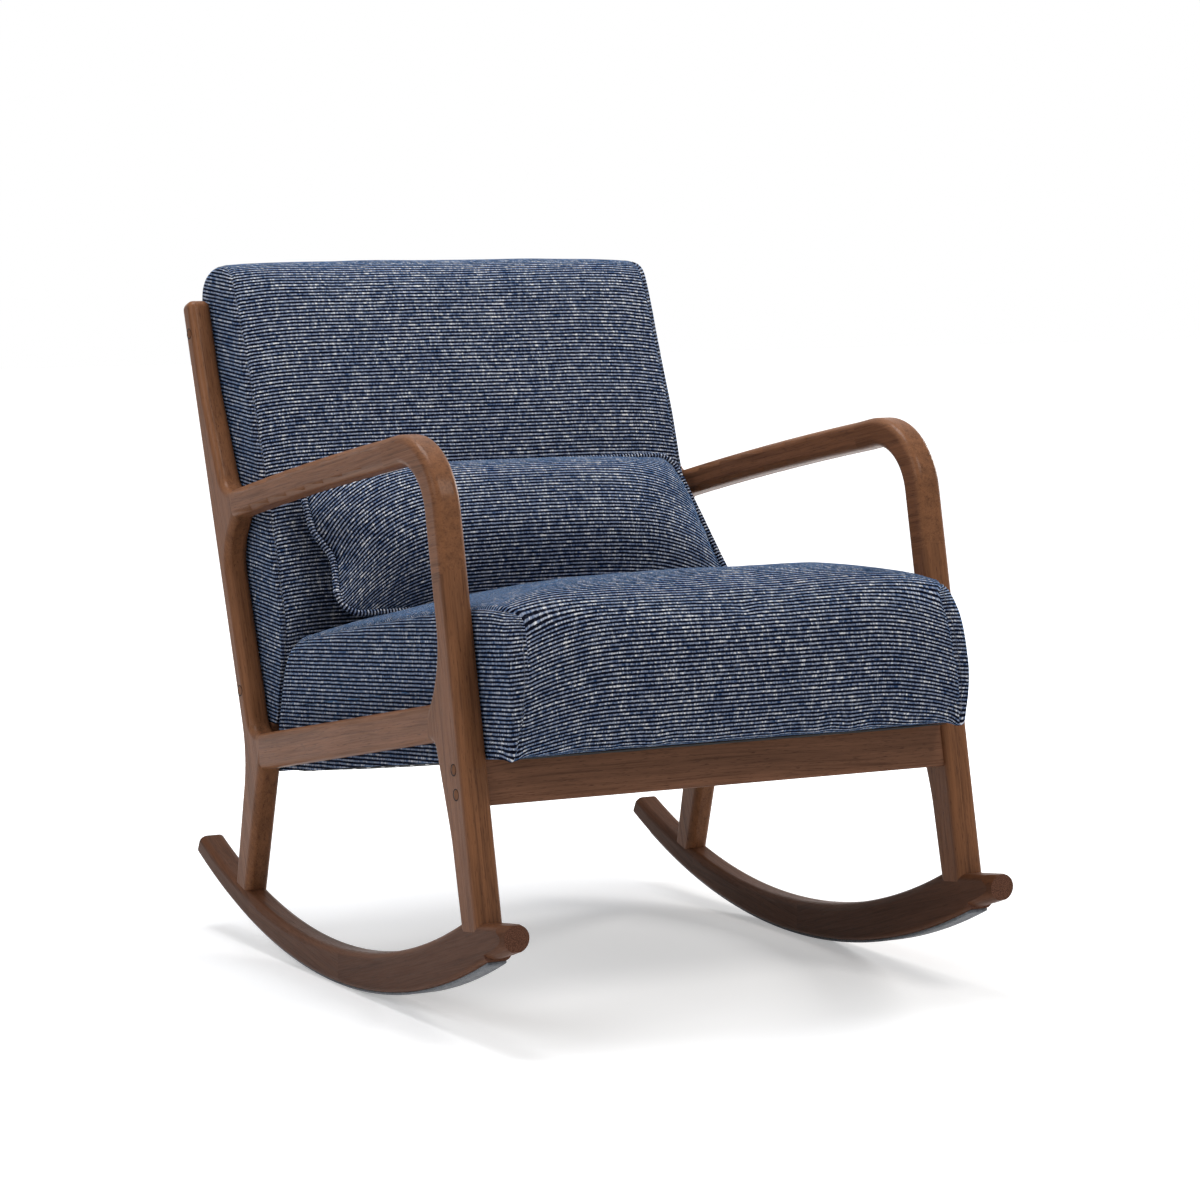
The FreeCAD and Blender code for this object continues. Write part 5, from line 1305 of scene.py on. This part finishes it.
@dataclass
class LumbarPillow:
    """The loose pillow: two panels sewn round a piped seam."""

    centre: tuple = (0.010, 0.190, 0.5083)
    lean: float = math.radians(32.0)
    half_width: float = 0.268
    half_height: float = 0.098
    corner: float = 0.026
    front_bulge: float = 0.065
    rear_bulge: float = 0.034
    top_share: float = 0.95
    end_curve: tuple = (2.9, 0.62)
    upper_curve: tuple = (3.6, 0.56)
    panel_curve: tuple = (2.1, 0.86)
    left_fan: tuple = (0.15, 0.056)
    right_fan: tuple = (0.11, 0.018)
    pucker_depth: float = 0.0035
    pucker_reach: float = 0.06
    piping_radius: float = 0.0040
    piping_gap: float = 0.0003
    piping_step: float = 0.0035
    across: int = 84
    around: int = 30
    thing: bpy.types.Object = field(default=None, repr=False)

    def spot(self, x: float, up: float, forward: float) -> tuple[float, float, float]:
        """Find a place by the seam's plane.

        Args:
            x: how far along the seam's plane it lies.
            up: how far up that plane.
            forward: how far forward of it.

        Returns:
            The place.
        """
        sine, cosine = math.sin(self.lean), math.cos(self.lean)
        return (self.centre[0] + x, self.centre[1] - forward * cosine + up * sine,
                self.centre[2] + forward * sine + up * cosine)

    def reach_up(self, x: float) -> float:
        """Find half the height of the seam's outline.

        Args:
            x: the place along the pillow.

        Returns:
            Half the height there.
        """
        past = abs(x) - (self.half_width - self.corner)
        drop = self.corner - math.sqrt(max(self.corner ** 2 - past ** 2, 0)) if past > 0 else 0.0
        return self.half_height - drop

    def fan(self, x: float) -> float:
        """Find how far the ribs sink near the pillow's ends.

        Args:
            x: the place along the pillow.

        Returns:
            How far they sink there.
        """
        left = max(0.0, 1 - (x + self.half_width) / self.left_fan[0]) ** 2
        right = max(0.0, 1 - (self.half_width - x) / self.right_fan[0]) ** 2
        return self.left_fan[1] * left + self.right_fan[1] * right

    def skew(self, share: float, row: float) -> float:
        """Find how far along X the pillow's ends slump out of square.

        Args:
            share: the place along the pillow, from -1 to 1.
            row: the place up it, from -1 to 1.

        Returns:
            The shift along X.
        """
        pull = min(max((0.3 - row) / 0.7, 0.0), 1.0)
        left = max(0.0, -share) ** 3 * (0.0175 * pull * pull * (3 - 2 * pull)
                                        - 0.006 * max(0.0, -row - 0.55) / 0.45)
        right = max(0.0, share) ** 3 * (0.005 - 0.013 * row)
        return left + right

    def build(self, name: str) -> bpy.types.Object:
        """Build the pillow's mesh, two panels on one seam.

        Args:
            name: the object's name.

        Returns:
            The object.
        """
        sew = Sewing()
        ends = np.linspace(0, 1, self.across // 2 + 1)
        shares = np.concatenate((-np.sin(ends[::-1] * math.pi / 2), np.sin(ends[1:] * math.pi / 2)))
        rows = -np.cos(np.linspace(0, math.pi, self.around + 1))
        panels = {}
        for side, bulge in (("front", self.front_bulge), ("rear", -self.rear_bulge)):
            places = np.zeros((len(rows), len(shares), 3))
            cloth = np.zeros((len(rows), len(shares), 2))
            for j, share in enumerate(shares):
                x = share * self.half_width
                height = self.reach_up(x)
                swell = fullness(share, self.end_curve) if abs(share) < 1 else 0.0
                last, run = None, 0.0
                for i, row in enumerate(rows):
                    curve = self.upper_curve if side == "front" and row > 0 else self.panel_curve
                    depth = bulge * swell * fullness(row, curve)
                    up = row * height * (self.top_share if row > 0 else 1.0)
                    places[i, j] = self.spot(x + self.skew(share, row), up, depth)
                    here = np.array((up, depth))
                    run += float(np.linalg.norm(here - last)) if last is not None else 0.0
                    last = here
                    cloth[i, j] = (x, run)
                cloth[:, j, 1] -= cloth[-1, j, 1] / 2
                cloth[:, j, 1] += self.fan(x) if side == "front" else 0.0
            panels[side] = (places, cloth)
        front, rear = panels["front"], panels["rear"]
        self.numbers = sew.add(front[0])
        back = self.numbers.copy()
        back[1:-1, 1:-1] = sew.add(rear[0][1:-1, 1:-1])
        sew.quads(self.numbers, front[1])
        sew.quads(back, rear[1], flip=True)
        self.thing = sew.finish(name)
        return self.thing

    def edge_loop(self) -> list:
        """Follow the seam.

        Returns:
            The numbers of its points in order round the pillow.
        """
        n = self.numbers
        loop = list(n[0, :]) + list(n[1:, -1]) + list(n[-1, -2::-1]) + list(n[-2:0:-1, 0])
        return [int(rank) for rank in loop]

    def pucker(self) -> None:
        """Pull small puckers into both panels beside the seam."""
        places, normals = read_places(self.thing), read_normals(self.thing)
        edge = places[self.edge_loop()]
        for rank, spot in enumerate(places):
            gap = float(np.linalg.norm(edge - spot, axis=1).min())
            if gap < self.pucker_reach:
                fade = (1 - gap / self.pucker_reach) ** 2 * min(gap / 0.006, 1)
                pleat = wave(spot[0] * 60, spot[2] * 60, 8.5)
                places[rank] = spot + normals[rank] * self.pucker_depth * pleat * fade
        write_places(self.thing, places)

    def piping_path(self) -> np.ndarray:
        """Lay the piping's middle line just outside the seam.

        Returns:
            Its points, evenly enough spaced for a tube.
        """
        edge = read_places(self.thing)[self.edge_loop()]
        middle = np.array(self.centre)
        across = np.cross(np.array((1.0, 0, 0)), np.array(self.spot(0, 1, 0)) - middle)
        path = []
        for before, spot, after in zip(np.roll(edge, 1, 0), edge, np.roll(edge, -1, 0)):
            outwards = np.cross(across, after - before)
            outwards /= max(np.linalg.norm(outwards), 1e-9)
            outwards *= -1 if np.dot(outwards, spot - middle) < 0 else 1
            place = spot + outwards * (self.piping_radius + self.piping_gap)
            if not path or np.linalg.norm(place - path[-1]) > self.piping_step:
                path.append(place)
        return np.array(path)


def closed_tube(name: str, path: np.ndarray, radius: float, sides: int, wobble: float) -> bpy.types.Object:
    """A round tube along a closed path, with a cloth map that runs along and round it.

    Args:
        name: the object's name.
        path: the points that it follows.
        radius: its radius.
        sides: how many sides it has.
        wobble: how far its radius varies, as a share.

    Returns:
        The object.
    """
    way = np.roll(path, -1, 0) - np.roll(path, 1, 0)
    way /= np.linalg.norm(way, axis=1, keepdims=True)
    first = np.cross(way, np.cross(np.roll(path, -1, 0) - path.mean(0), way))
    first /= np.maximum(np.linalg.norm(first, axis=1, keepdims=True), 1e-9)
    second = np.cross(way, first)
    run = run_along(path)
    turns = np.linspace(0, 2 * math.pi, sides + 1)
    places = np.zeros((len(path), sides, 3))
    for i, spot in enumerate(path):
        size = radius * (1 + wobble * wave(run[i] * 120, 0.4, 3.3))
        for j in range(sides):
            places[i, j] = spot + size * (math.cos(turns[j]) * first[i] + math.sin(turns[j]) * second[i])
    sew = Sewing()
    numbers = sew.add(places)
    numbers = np.column_stack((numbers, numbers[:, 0]))
    numbers = np.concatenate((numbers, numbers[:1]))
    cloth = np.zeros((len(path) + 1, sides + 1, 2))
    cloth[:, :, 0] = (turns * radius)[None, :]
    cloth[:, :, 1] = np.append(run, run[-1] + np.linalg.norm(path[0] - path[-1]))[:, None]
    sew.quads(numbers, cloth)
    return sew.finish(name)


@dataclass(frozen=True)
class Lamp:
    """A soft square lamp: where it stands, what it points at, its side's length, watts and colour."""

    name: str
    place: tuple
    aim: tuple
    size: float
    power: float
    tint: tuple

    def build(self) -> None:
        """Add the lamp to the scene."""
        data = bpy.data.lights.new(self.name, "AREA")
        data.size, data.energy, data.color = self.size, self.power, self.tint
        thing = bpy.data.objects.new(self.name, data)
        thing.location = self.place
        thing.rotation_euler = (Vector(self.aim) - Vector(self.place)).to_track_quat("-Z", "Y").to_euler()
        bpy.context.scene.collection.objects.link(thing)


@dataclass
class Studio:
    """The camera at the photograph's angle, a pale floor and soft light."""

    eye: tuple = (-2.21206, -4.09606, 0.95162)
    yaw: float = math.radians(28.721)
    pitch: float = math.radians(6.284)
    lens: float = 115.4565
    lamps: tuple = (Lamp("key", (0.9, -2.5, 3.1), (0, 0, 0.4), 1.2, 40.0, (1.0, 0.98, 0.95)),
                    Lamp("rim", (2.9, 1.0, 1.3), (0, 0, 0.5), 0.8, 48.0, (1.0, 0.98, 0.96)),
                    Lamp("top", (-0.2, 0.5, 3.2), (0, 0, 0.4), 1.4, 60.0, (0.96, 0.98, 1.0)),
                    Lamp("left", (-2.9, -0.8, 2.4), (0, 0, 0.45), 1.5, 25.0, (0.97, 0.98, 1.0)))
    ambient: float = 0.3
    floor_colour: tuple = (0.86, 0.86, 0.865, 1)
    floor_glow: float = 0.33
    glow_reach: tuple = (0.6, 1.6)
    floor_half: float = 14.0

    def camera(self) -> None:
        """Make the camera."""
        data = bpy.data.cameras.new("camera")
        data.lens = self.lens
        data.sensor_width = 36.0
        data.clip_end = 60.0
        thing = bpy.data.objects.new("camera", data)
        thing.location = self.eye
        thing.rotation_euler = (math.pi / 2 - self.pitch, 0.0, -self.yaw)
        bpy.context.scene.collection.objects.link(thing)
        bpy.context.scene.camera = thing

    def shown_rays(self, w: Wiring) -> bpy.types.NodeSocket:
        """Find the rays that show white: the camera's, and those mirrored or let through.

        Args:
            w: the wiring that they are found in.

        Returns:
            A mask.
        """
        path = w.add("ShaderNodeLightPath").outputs
        through = w.math("MAXIMUM", path["Is Glossy Ray"], path["Is Transmission Ray"])
        return w.math("MAXIMUM", path["Is Camera Ray"], through)

    def light(self) -> None:
        """Light the chair softly, brighter from above and behind on the right."""
        world = bpy.data.worlds.new("studio")
        bpy.context.scene.world = world
        world.use_nodes = True
        w = Wiring(world.node_tree)
        background = world.node_tree.nodes["Background"]
        background.inputs["Color"].default_value = (1, 1, 1, 1)
        w.feed(background.inputs["Strength"], w.spread(self.shown_rays(w), 0.0, 1.0, self.ambient, 1.0))
        for lamp in self.lamps:
            lamp.build()

    def floor(self) -> None:
        """Lay a plain pale floor that fades to white and keeps the chair's shadow."""
        w, shader, material = start_material("studio_floor", Roughness=0.9, Specular_IOR_Level=0.1,
                                             Base_Color=self.floor_colour, Emission_Color=(1, 1, 1, 1))
        away = w.vector("LENGTH", w.add("ShaderNodeTexCoord").outputs["Object"])
        glow = w.times(self.shown_rays(w), w.spread(away, *self.glow_reach, self.floor_glow, 1.0))
        w.feed(shader.inputs["Emission Strength"], glow)
        sew = Sewing()
        spans = np.linspace(-self.floor_half, self.floor_half, 15)
        grid = np.array([[(x, y, 0.0) for x in spans] for y in spans])
        sew.quads(sew.add(grid), grid[:, :, :2])
        thing = sew.finish("floor")
        thing.data.materials.append(material)


@dataclass
class SideFrames:
    """The wooden side frames and cross rails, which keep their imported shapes."""

    post_angle: float = 0.3301
    leg_angle: float = 0.2132
    arm_angle: float = math.pi / 2 + 0.2012
    rail_angle: float = math.pi / 2 + 0.1921
    bend_centre: tuple = (-0.345, 0.575)
    bend_lean: float = 0.2012
    # Each rocker segment's grain turn, seed, and colours for its faces along X and its other faces; these
    # are darker than the other walnut pieces, a painted shade.
    shaded_rockers: dict = field(default_factory=lambda: {
        "rocker_front": (107.0, 7.2, (0.09, 0.036, 0.018, 1), (0.125, 0.05, 0.024, 1)),
        "rocker_middle": (81.0, 8.8, (0.1, 0.041, 0.021, 1), (0.13, 0.053, 0.026, 1)),
        "rocker_rear": (66.0, 9.4, (0.09, 0.037, 0.019, 1), (0.125, 0.05, 0.024, 1))})
    apron_edge: tuple = (0.235, 0.108, 0.06, 1)

    def dress(self, effects: Effects) -> None:
        """Give each wooden piece its own grain.

        Args:
            effects: the shared node groups.
        """
        plan = {
            "back_post": WoodFinish("walnut_post", angle=self.post_angle, seed=1.3),
            "front_leg": WoodFinish("walnut_leg", angle=self.leg_angle, grain=Grain.BENT,
                                    bend_centre=self.bend_centre, bend_lean=self.bend_lean, seed=2.7),
            "armrest": WoodFinish("walnut_arm", angle=self.arm_angle, seed=4.1),
            "side_rail": WoodFinish("walnut_side_rail", angle=self.rail_angle, seed=5.9),
        }
        # The rockers take their darker colours, which paint shade on them, and less gloss.
        for segment, (turn, seed, face, edge) in self.shaded_rockers.items():
            plan[segment] = WoodFinish(f"walnut_{segment}", angle=math.radians(turn), seed=seed, face=face,
                                       edge=edge, coat=0.04, gloss=0.06)
        for name, finish in plan.items():
            material = finish.make(effects)
            for side in SIDES:
                dress_node(f"{name}_{side}", material)
        apron = WoodFinish("walnut_apron", along_x=True, seed=11.0, edge=self.apron_edge).make(effects)
        dress_node("front_apron", apron)
        dress_node("rear_rail", apron)
        for node in ("leg_plugs", "post_plugs"):
            dress_node(node, PlugFinish(f"walnut_{node}", middles_of(node)).make(effects))


# The points of one plug lie closer together than this.
PLUG_REACH = 0.016


def middles_of(node: str) -> tuple:
    """Find the middles of a node's separate small solids, as seen from the side.

    Args:
        node: the node's name.

    Returns:
        Each middle's Y and Z, once for both sides.
    """
    groups: list = []
    for spot in read_places(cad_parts[node]):
        for group in groups:
            if math.hypot(spot[1] - group[0][1], spot[2] - group[0][2]) < PLUG_REACH:
                group.append(spot)
                break
        else:
            groups.append([spot])
    middles = []
    for group in groups:
        spots = np.array(group)
        low, high = spots.min(0), spots.max(0)
        middles.append((float(low[1] + high[1]) / 2, float(low[2] + high[2]) / 2))
    return tuple(middles)


def dress_node(node: str, material: bpy.types.Material) -> None:
    """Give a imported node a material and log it.

    Args:
        node: the node's name.
        material: its new material.
    """
    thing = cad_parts[node]
    for slot in thing.material_slots:
        slot.material = material
    LOG.info("%s takes %s", node, material.name)


@dataclass
class InnerWorks:
    """What the upholstery and the joints hold inside."""

    def dress(self, effects: Effects) -> bpy.types.Material:
        """Give each inner piece its finish.

        Args:
            effects: the shared node groups.

        Returns:
            The zinc-plated steel, for the staples.
        """
        beech = WoodFinish("beech", angle=1.4, face=(0.5, 0.33, 0.18, 1), edge=(0.52, 0.34, 0.18, 1),
                           dark=(0.3, 0.17, 0.08, 1), coat=0.0, contrast=0.7, seed=21.0).make(effects)
        pine = WoodFinish("frame_pine", along_x=True, face=(0.52, 0.36, 0.2, 1), edge=(0.54, 0.38, 0.22, 1),
                          dark=(0.32, 0.19, 0.09, 1), coat=0.0, contrast=0.9, seed=23.0).make(effects)
        # Name, two colours, coarse and fine swings in a metre, roughness, metallic share, depth.
        rows = (
            ("zinc_steel", (0.5, 0.5, 0.51, 1), (0.66, 0.66, 0.66, 1), 120.0, 2500.0, 0.36, 1.0, 0.00003),
            ("spring_steel", (0.1, 0.1, 0.105, 1), (0.2, 0.2, 0.2, 1), 90.0, 1800.0, 0.42, 1.0, 0.00004),
            ("clip_plastic", (0.012, 0.012, 0.013, 1), (0.03, 0.03, 0.03, 1), 80.0, 1500.0, 0.6, 0.0,
             0.00006),
            ("foam", (0.66, 0.62, 0.5, 1), (0.78, 0.75, 0.64, 1), 50.0, 700.0, 1.0, 0.0, 0.0008),
            ("rubber_fibre", (0.1, 0.055, 0.026, 1), (0.27, 0.17, 0.085, 1), 110.0, 1300.0, 1.0, 0.0,
             0.0012),
            ("webbing", (0.016, 0.014, 0.012, 1), (0.05, 0.045, 0.04, 1), 240.0, 1600.0, 0.95, 0.0, 0.0003),
            ("zipper_coil", (0.012, 0.016, 0.035, 1), (0.03, 0.038, 0.07, 1), 300.0, 1500.0, 0.6, 0.0,
             0.0003))
        made = [MottledFinish(*row).make(effects) for row in rows]
        zinc, spring, clip, foam, fibre, webbing, zipper = made
        plan = {
            beech: ("arm_dowels", "foot_dowels", "rail_dowels", "rear_rail_dowels", "rocker_dowels"),
            pine: ("seat_frame_front", "seat_frame_rear", "seat_frame_side_left", "seat_frame_side_right",
                   "seat_corner_blocks", "back_stile_left", "back_stile_right", "back_top_rail",
                   "back_bottom_rail"),
            zinc: ("apron_bolts", "post_bolts", "seat_bolts", "washers", "barrel_nuts",
                   "threaded_inserts", "block_screws"),
            spring: ("seat_springs",), clip: ("spring_clips",), webbing: ("back_webbing",),
            zipper: ("pillow_zipper",), fibre: ("seat_fibre_pad",),
            foam: ("seat_foam", "back_foam", "back_padding", "pillow_fill"),
        }
        for material, nodes in plan.items():
            for node in nodes:
                dress_node(node, material)
        return zinc


@dataclass
class FeltPads:
    """The grey felt strip under each rocker."""

    radius: float = 0.927
    thickness: float = 0.003
    half_width: float = 0.0115
    middle_x: float = 0.318
    reach: tuple = (-0.406, 0.361)
    softening: float = 0.0012
    fray: float = 0.00035
    steps: int = 90

    def build(self, material: bpy.types.Material) -> None:
        """Build both strips, each with softened edges.

        Args:
            material: the felt.
        """
        w, t, soft = self.half_width, self.thickness, self.softening
        section = ((-w, 0.0016), (-w + 0.0003, 0.0006), (-w + soft, 0.0), (-w / 2, 0.0), (0.0, 0.0),
                   (w / 2, 0.0), (w - soft, 0.0), (w - 0.0003, 0.0006), (w, 0.0016), (w, t),
                   (0.0, t), (-w, t))
        for side, sign in SIDES.items():
            sew = Sewing()
            places = np.zeros((self.steps + 1, len(section), 3))
            for i, y in enumerate(np.linspace(*self.reach, self.steps + 1)):
                turn = math.asin(y / self.radius)
                for j, (x, up) in enumerate(section):
                    shrink = self.radius - up
                    fray = self.fray * wave(y * 160, j * 1.7 + sign, 2.0) if up > 0.001 else 0.0
                    places[i, j] = (sign * self.middle_x + x + math.copysign(fray, x),
                                    math.sin(turn) * shrink, self.radius - math.cos(turn) * shrink)
            numbers = sew.add(places)
            closed = np.column_stack((numbers, numbers[:, 0]))
            sew.quads(closed, np.zeros(closed.shape + (2,)))
            for ranks, flip in ((numbers[0], True), (numbers[-1], False)):
                sew.fill(list(ranks), [(0.0, 0.0)] * len(section), flip=flip)
            settle(sew.finish(f"felt_pad_{side}"), material, "root", "felt", f"rocker_pad_{side}")


@dataclass
class OutsideBack:
    """The flat outside panel of the back, pulled over board and blind-sewn round its edge."""

    half_width: float = 0.2905
    low: float = 0.0155
    high: float = 0.5365
    proud: float = 0.0032
    edge_curve: float = 0.006
    tuck: float = 0.004
    ripple: float = 0.0006
    sunk: float = 0.0005
    columns: int = 60
    rows: int = 54

    def build(self, back: BackCushion, material: bpy.types.Material) -> None:
        """Build the panel.

        Args:
            back: the back cushion, which gives the rear face.
            material: its cloth.
        """
        sew = Sewing()
        xs = np.sin(np.linspace(-1, 1, self.columns + 1) * math.pi / 2) * self.half_width
        shares = (1 - np.cos(np.linspace(0, 1, self.rows + 1) * math.pi)) / 2
        ups = self.low + shares * (self.high - self.low)

        def spot(x: float, up: float, outer: bool) -> tuple:
            """Find a place on the panel's face, or on its hidden layer."""
            edge = min(self.half_width - abs(x), up - self.low, self.high - up)
            lift = self.proud * (1 - math.exp(-edge / self.edge_curve))
            lift += self.ripple * wave(x * 9, up * 9, 5.0)
            return (x, *back.spot(up, -lift * min(edge / self.tuck, 1) if outer else self.sunk))

        sew.sheet(xs, ups, spot)
        settle(sew.finish("outside_back"), material, "root", "rib_chenille", "back_panel")


@dataclass
class DustCover:
    """The thin black sheet stapled under the seat."""

    half_width: float = 0.2845
    first: float = 0.016
    last: float = 0.600
    origin: tuple = (-0.398, 0.319)
    angle: float = math.atan(0.16)
    thickness: float = 0.0008
    clearance: float = 0.0006
    sag: float = 0.0052
    sag_reach: float = 0.07
    ripple: float = 0.0007
    taut_reach: float = 0.02
    staple_columns: tuple = (-0.26, 0.27)
    staple_rows: tuple = (0.09, 0.58)
    staple_depths: tuple = (0.0012, 0.0023)
    staple_inset: float = 0.007
    staple_spacing: float = 0.04
    staple_half: tuple = (0.005, 0.0005)

    def spot(self, x: float, along: float, down: float) -> tuple:
        """Find a place below the seat.

        Args:
            x: its X.
            along: how far along the seat's underside it lies.
            down: how far below that.

        Returns:
            The place.
        """
        sine, cosine = math.sin(self.angle), math.cos(self.angle)
        return (x, self.origin[0] + along * cosine - down * sine,
                self.origin[1] - along * sine - down * cosine)

    def build(self, material: bpy.types.Material) -> None:
        """Build the sheet with its sag.

        Args:
            material: the sheet's cloth.
        """
        sew = Sewing()
        xs = np.linspace(-self.half_width, self.half_width, 41)
        ys = np.linspace(self.first, self.last, 41)

        def spot(x: float, y: float, outer: bool) -> tuple:
            """Find a place on the sheet's lower or upper face."""
            edge = min(self.half_width - abs(x), y - self.first, self.last - y)
            sag = self.sag * (1 - math.exp(-edge / self.sag_reach))
            sag += self.ripple * wave(x * 22, y * 22, 6.0)
            thick = self.thickness if outer else 0.0
            return self.spot(x, y, self.clearance + thick + max(sag, 0.0) * min(edge / self.taut_reach, 1))

        sew.sheet(xs, ys, spot)
        thing = sew.finish("dust_sheet")
        settle(thing, material, "root", "dust_cloth", "dust_cover")

    def staple(self, steel: bpy.types.Material) -> None:
        """Drive the staples round the sheet's edge.

        Args:
            steel: their metal.
        """
        sew = Sewing()
        rim = [(x, self.last - self.staple_inset, self.staple_half)
               for x in np.arange(*self.staple_columns, self.staple_spacing)]
        rim += [(sign * (self.half_width - self.staple_inset), y, self.staple_half[::-1])
                for sign in SIDES.values() for y in np.arange(*self.staple_rows, self.staple_spacing)]
        faces = ((0, 1, 2, 3), (7, 6, 5, 4), (0, 4, 5, 1), (1, 5, 6, 2), (2, 6, 7, 3), (3, 7, 4, 0))
        for x, y, half in rim:
            corners = [(x + a * half[0], y + b * half[1], down) for down in self.staple_depths
                       for a, b in ((-1, -1), (1, -1), (1, 1), (-1, 1))]
            numbers = sew.add(np.array([self.spot(*corner) for corner in corners]))
            for face in faces:
                sew.fill([numbers[rank] for rank in face], [(0.0, 0.0)] * 4)
        staples = sew.finish("dust_sheet_staples")
        staples.data.shade_flat()
        settle(staples, steel, "root", "zinc_steel")


@dataclass(frozen=True)
class Stitches:
    """A row of small stitches along each seam of a cushion."""

    material: bpy.types.Material
    spacing: float = 0.0046
    length: float = 0.0031
    radius: float = 0.00038
    offset: float = 0.9

    def lay(self, name: str, line: np.ndarray, normals: np.ndarray) -> None:
        """Lay one row.

        Args:
            name: the object's name.
            line: the points that the row follows.
            normals: the outward direction at each.
        """
        run = run_along(line)
        turns = np.arange(6) * math.pi / 3

        def read(rows: np.ndarray, at: float) -> np.ndarray:
            """Read a value that changes along the row, at a distance along it."""
            return np.array([np.interp(at, run, rows[:, axis]) for axis in range(3)])

        sew = Sewing()
        for middle in np.arange(self.spacing, run[-1] - self.spacing, self.spacing):
            rings = []
            for share in (-0.5, -0.3, 0.0, 0.3, 0.5):
                at = middle + share * self.length
                spot, out = read(line, at), read(normals, at)
                out /= np.linalg.norm(out)
                ahead = read(line, at + 0.001) - spot
                side = np.cross(ahead / max(np.linalg.norm(ahead), 1e-9), out)
                size = self.radius * (1 - 0.75 * (2 * abs(share)) ** 2)
                lift = self.radius * (0.75 - 1.3 * (2 * abs(share)) ** 2)
                rings.append([spot + out * (lift + size * math.sin(turn)) + side * size * math.cos(turn)
                              for turn in turns])
            numbers = sew.add(np.array(rings))
            closed = np.column_stack((numbers, numbers[:, 0]))
            sew.quads(closed, np.zeros(closed.shape + (2,)), flip=True)
        settle(sew.finish(name), self.material, "root", "rib_chenille")

    def sew_edges(self, cushion: SewnCushion, name: str) -> None:
        """Stitch both seams of a cushion.

        Args:
            cushion: the cushion.
            name: what it is called.
        """
        places, normals = read_places(cushion.thing), read_normals(cushion.thing)
        span = slice(1, cushion.wrapped - 1)
        for side, seam, strip in (("left", cushion.main[span, 0], cushion.left[span, 0]),
                                  ("right", cushion.main[span, -1], cushion.right[span, 0])):
            shift = (places[strip] - places[seam]) * self.offset
            self.lay(f"{name}_stitches_{side}", places[seam] + shift, normals[strip])


def build_seat(chenille: bpy.types.Material, stitches: Stitches) -> None:
    """Build the seat cushion and the stitches along its seams.

    Args:
        chenille: its cloth.
        stitches: the stitches along its seams.
    """
    seat = SeatCushion()
    seat.build("seat_cushion")
    inflate(seat.thing, seat.hold(), pressure=3.2, cap=0.007)
    seat.rumple(size=0.0014, spread=11.0, seed=2.0)
    seat.gather()
    seat.sink_seam(depth=0.0021)
    seat.finish(("seat_cover", "seat_foam"), "rib_chenille", chenille, fill=0.85)
    stitches.sew_edges(seat, "seat")


def build_back(chenille: bpy.types.Material, stitches: Stitches) -> None:
    """Build the back cushion, its outside panel and its stitches.

    Args:
        chenille: its cloth.
        stitches: the stitches along its seams.
    """
    back = BackCushion()
    back.build("back_cushion")
    inflate(back.thing, back.hold(), pressure=2.2, cap=0.005)
    back.rumple(size=0.0012, spread=9.0, seed=6.0)
    back.sink_seam(depth=0.0018)
    back.finish(("back_cover", "back_foam", "back_padding"), "rib_chenille", chenille, fill=0.85)
    stitches.sew_edges(back, "back")
    OutsideBack().build(back, chenille)


def build_pillow(chenille: bpy.types.Material, piping: bpy.types.Material) -> None:
    """Build the pillow and its piping.

    Args:
        chenille: its cloth.
        piping: the piping's cloth.
    """
    pillow = LumbarPillow()
    pillow.build("lumbar_pillow")
    held = np.zeros(len(pillow.thing.data.vertices))
    held[pillow.edge_loop()] = 1.0
    inflate(pillow.thing, held, pressure=1.4, cap=0.005)
    pillow.pucker()
    refine(pillow.thing)
    settle(pillow.thing, chenille, "pillow", "pillow_chenille", "pillow_front_panel", "pillow_rear_panel",
           "pillow_fill")
    cord = closed_tube("pillow_cord", pillow.piping_path(), pillow.piping_radius, sides=16, wobble=0.1)
    settle(cord, piping, "pillow", "piping_cloth", "pillow_piping")


def main() -> None:
    """Build the studio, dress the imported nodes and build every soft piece."""
    logging.basicConfig(level=logging.INFO, format="%(message)s")
    bpy.context.scene.view_settings.view_transform = "Standard"
    studio = Studio()
    studio.camera()
    studio.light()
    studio.floor()
    effects = Effects()
    SideFrames().dress(effects)
    steel = InnerWorks().dress(effects)
    chenille = ChenilleFinish("blue_chenille").make(effects)
    pillow_cloth = ChenilleFinish("pillow_cloth").make(effects)
    piping = ChenilleFinish("pillow_piping_cloth", pitch=0.0043, sheen=0.4).make(effects)
    thread = MottledFinish("seam_thread", (0.09, 0.1, 0.14, 1), (0.2, 0.19, 0.17, 1), coarse=400.0,
                           fine=3000.0, roughness=0.7, depth=0.0001).make(effects)
    felt = MottledFinish("grey_felt", (0.065, 0.072, 0.088, 1), (0.2, 0.212, 0.235, 1), coarse=160.0,
                         fine=1500.0, roughness=1.0, depth=0.0006, sheen=0.3).make(effects)
    black = MottledFinish("black_cambric", (0.008, 0.008, 0.009, 1), (0.02, 0.02, 0.021, 1), coarse=70.0,
                          fine=2200.0, roughness=0.95, depth=0.0003).make(effects)
    stitches = Stitches(thread)
    build_seat(chenille, stitches)
    build_back(chenille, stitches)
    build_pillow(pillow_cloth, piping)
    FeltPads().build(felt)
    cover = DustCover()
    cover.build(black)
    cover.staple(steel)
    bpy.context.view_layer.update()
    LOG.info("all pieces are in place")


if __name__ == "__main__":
    main()
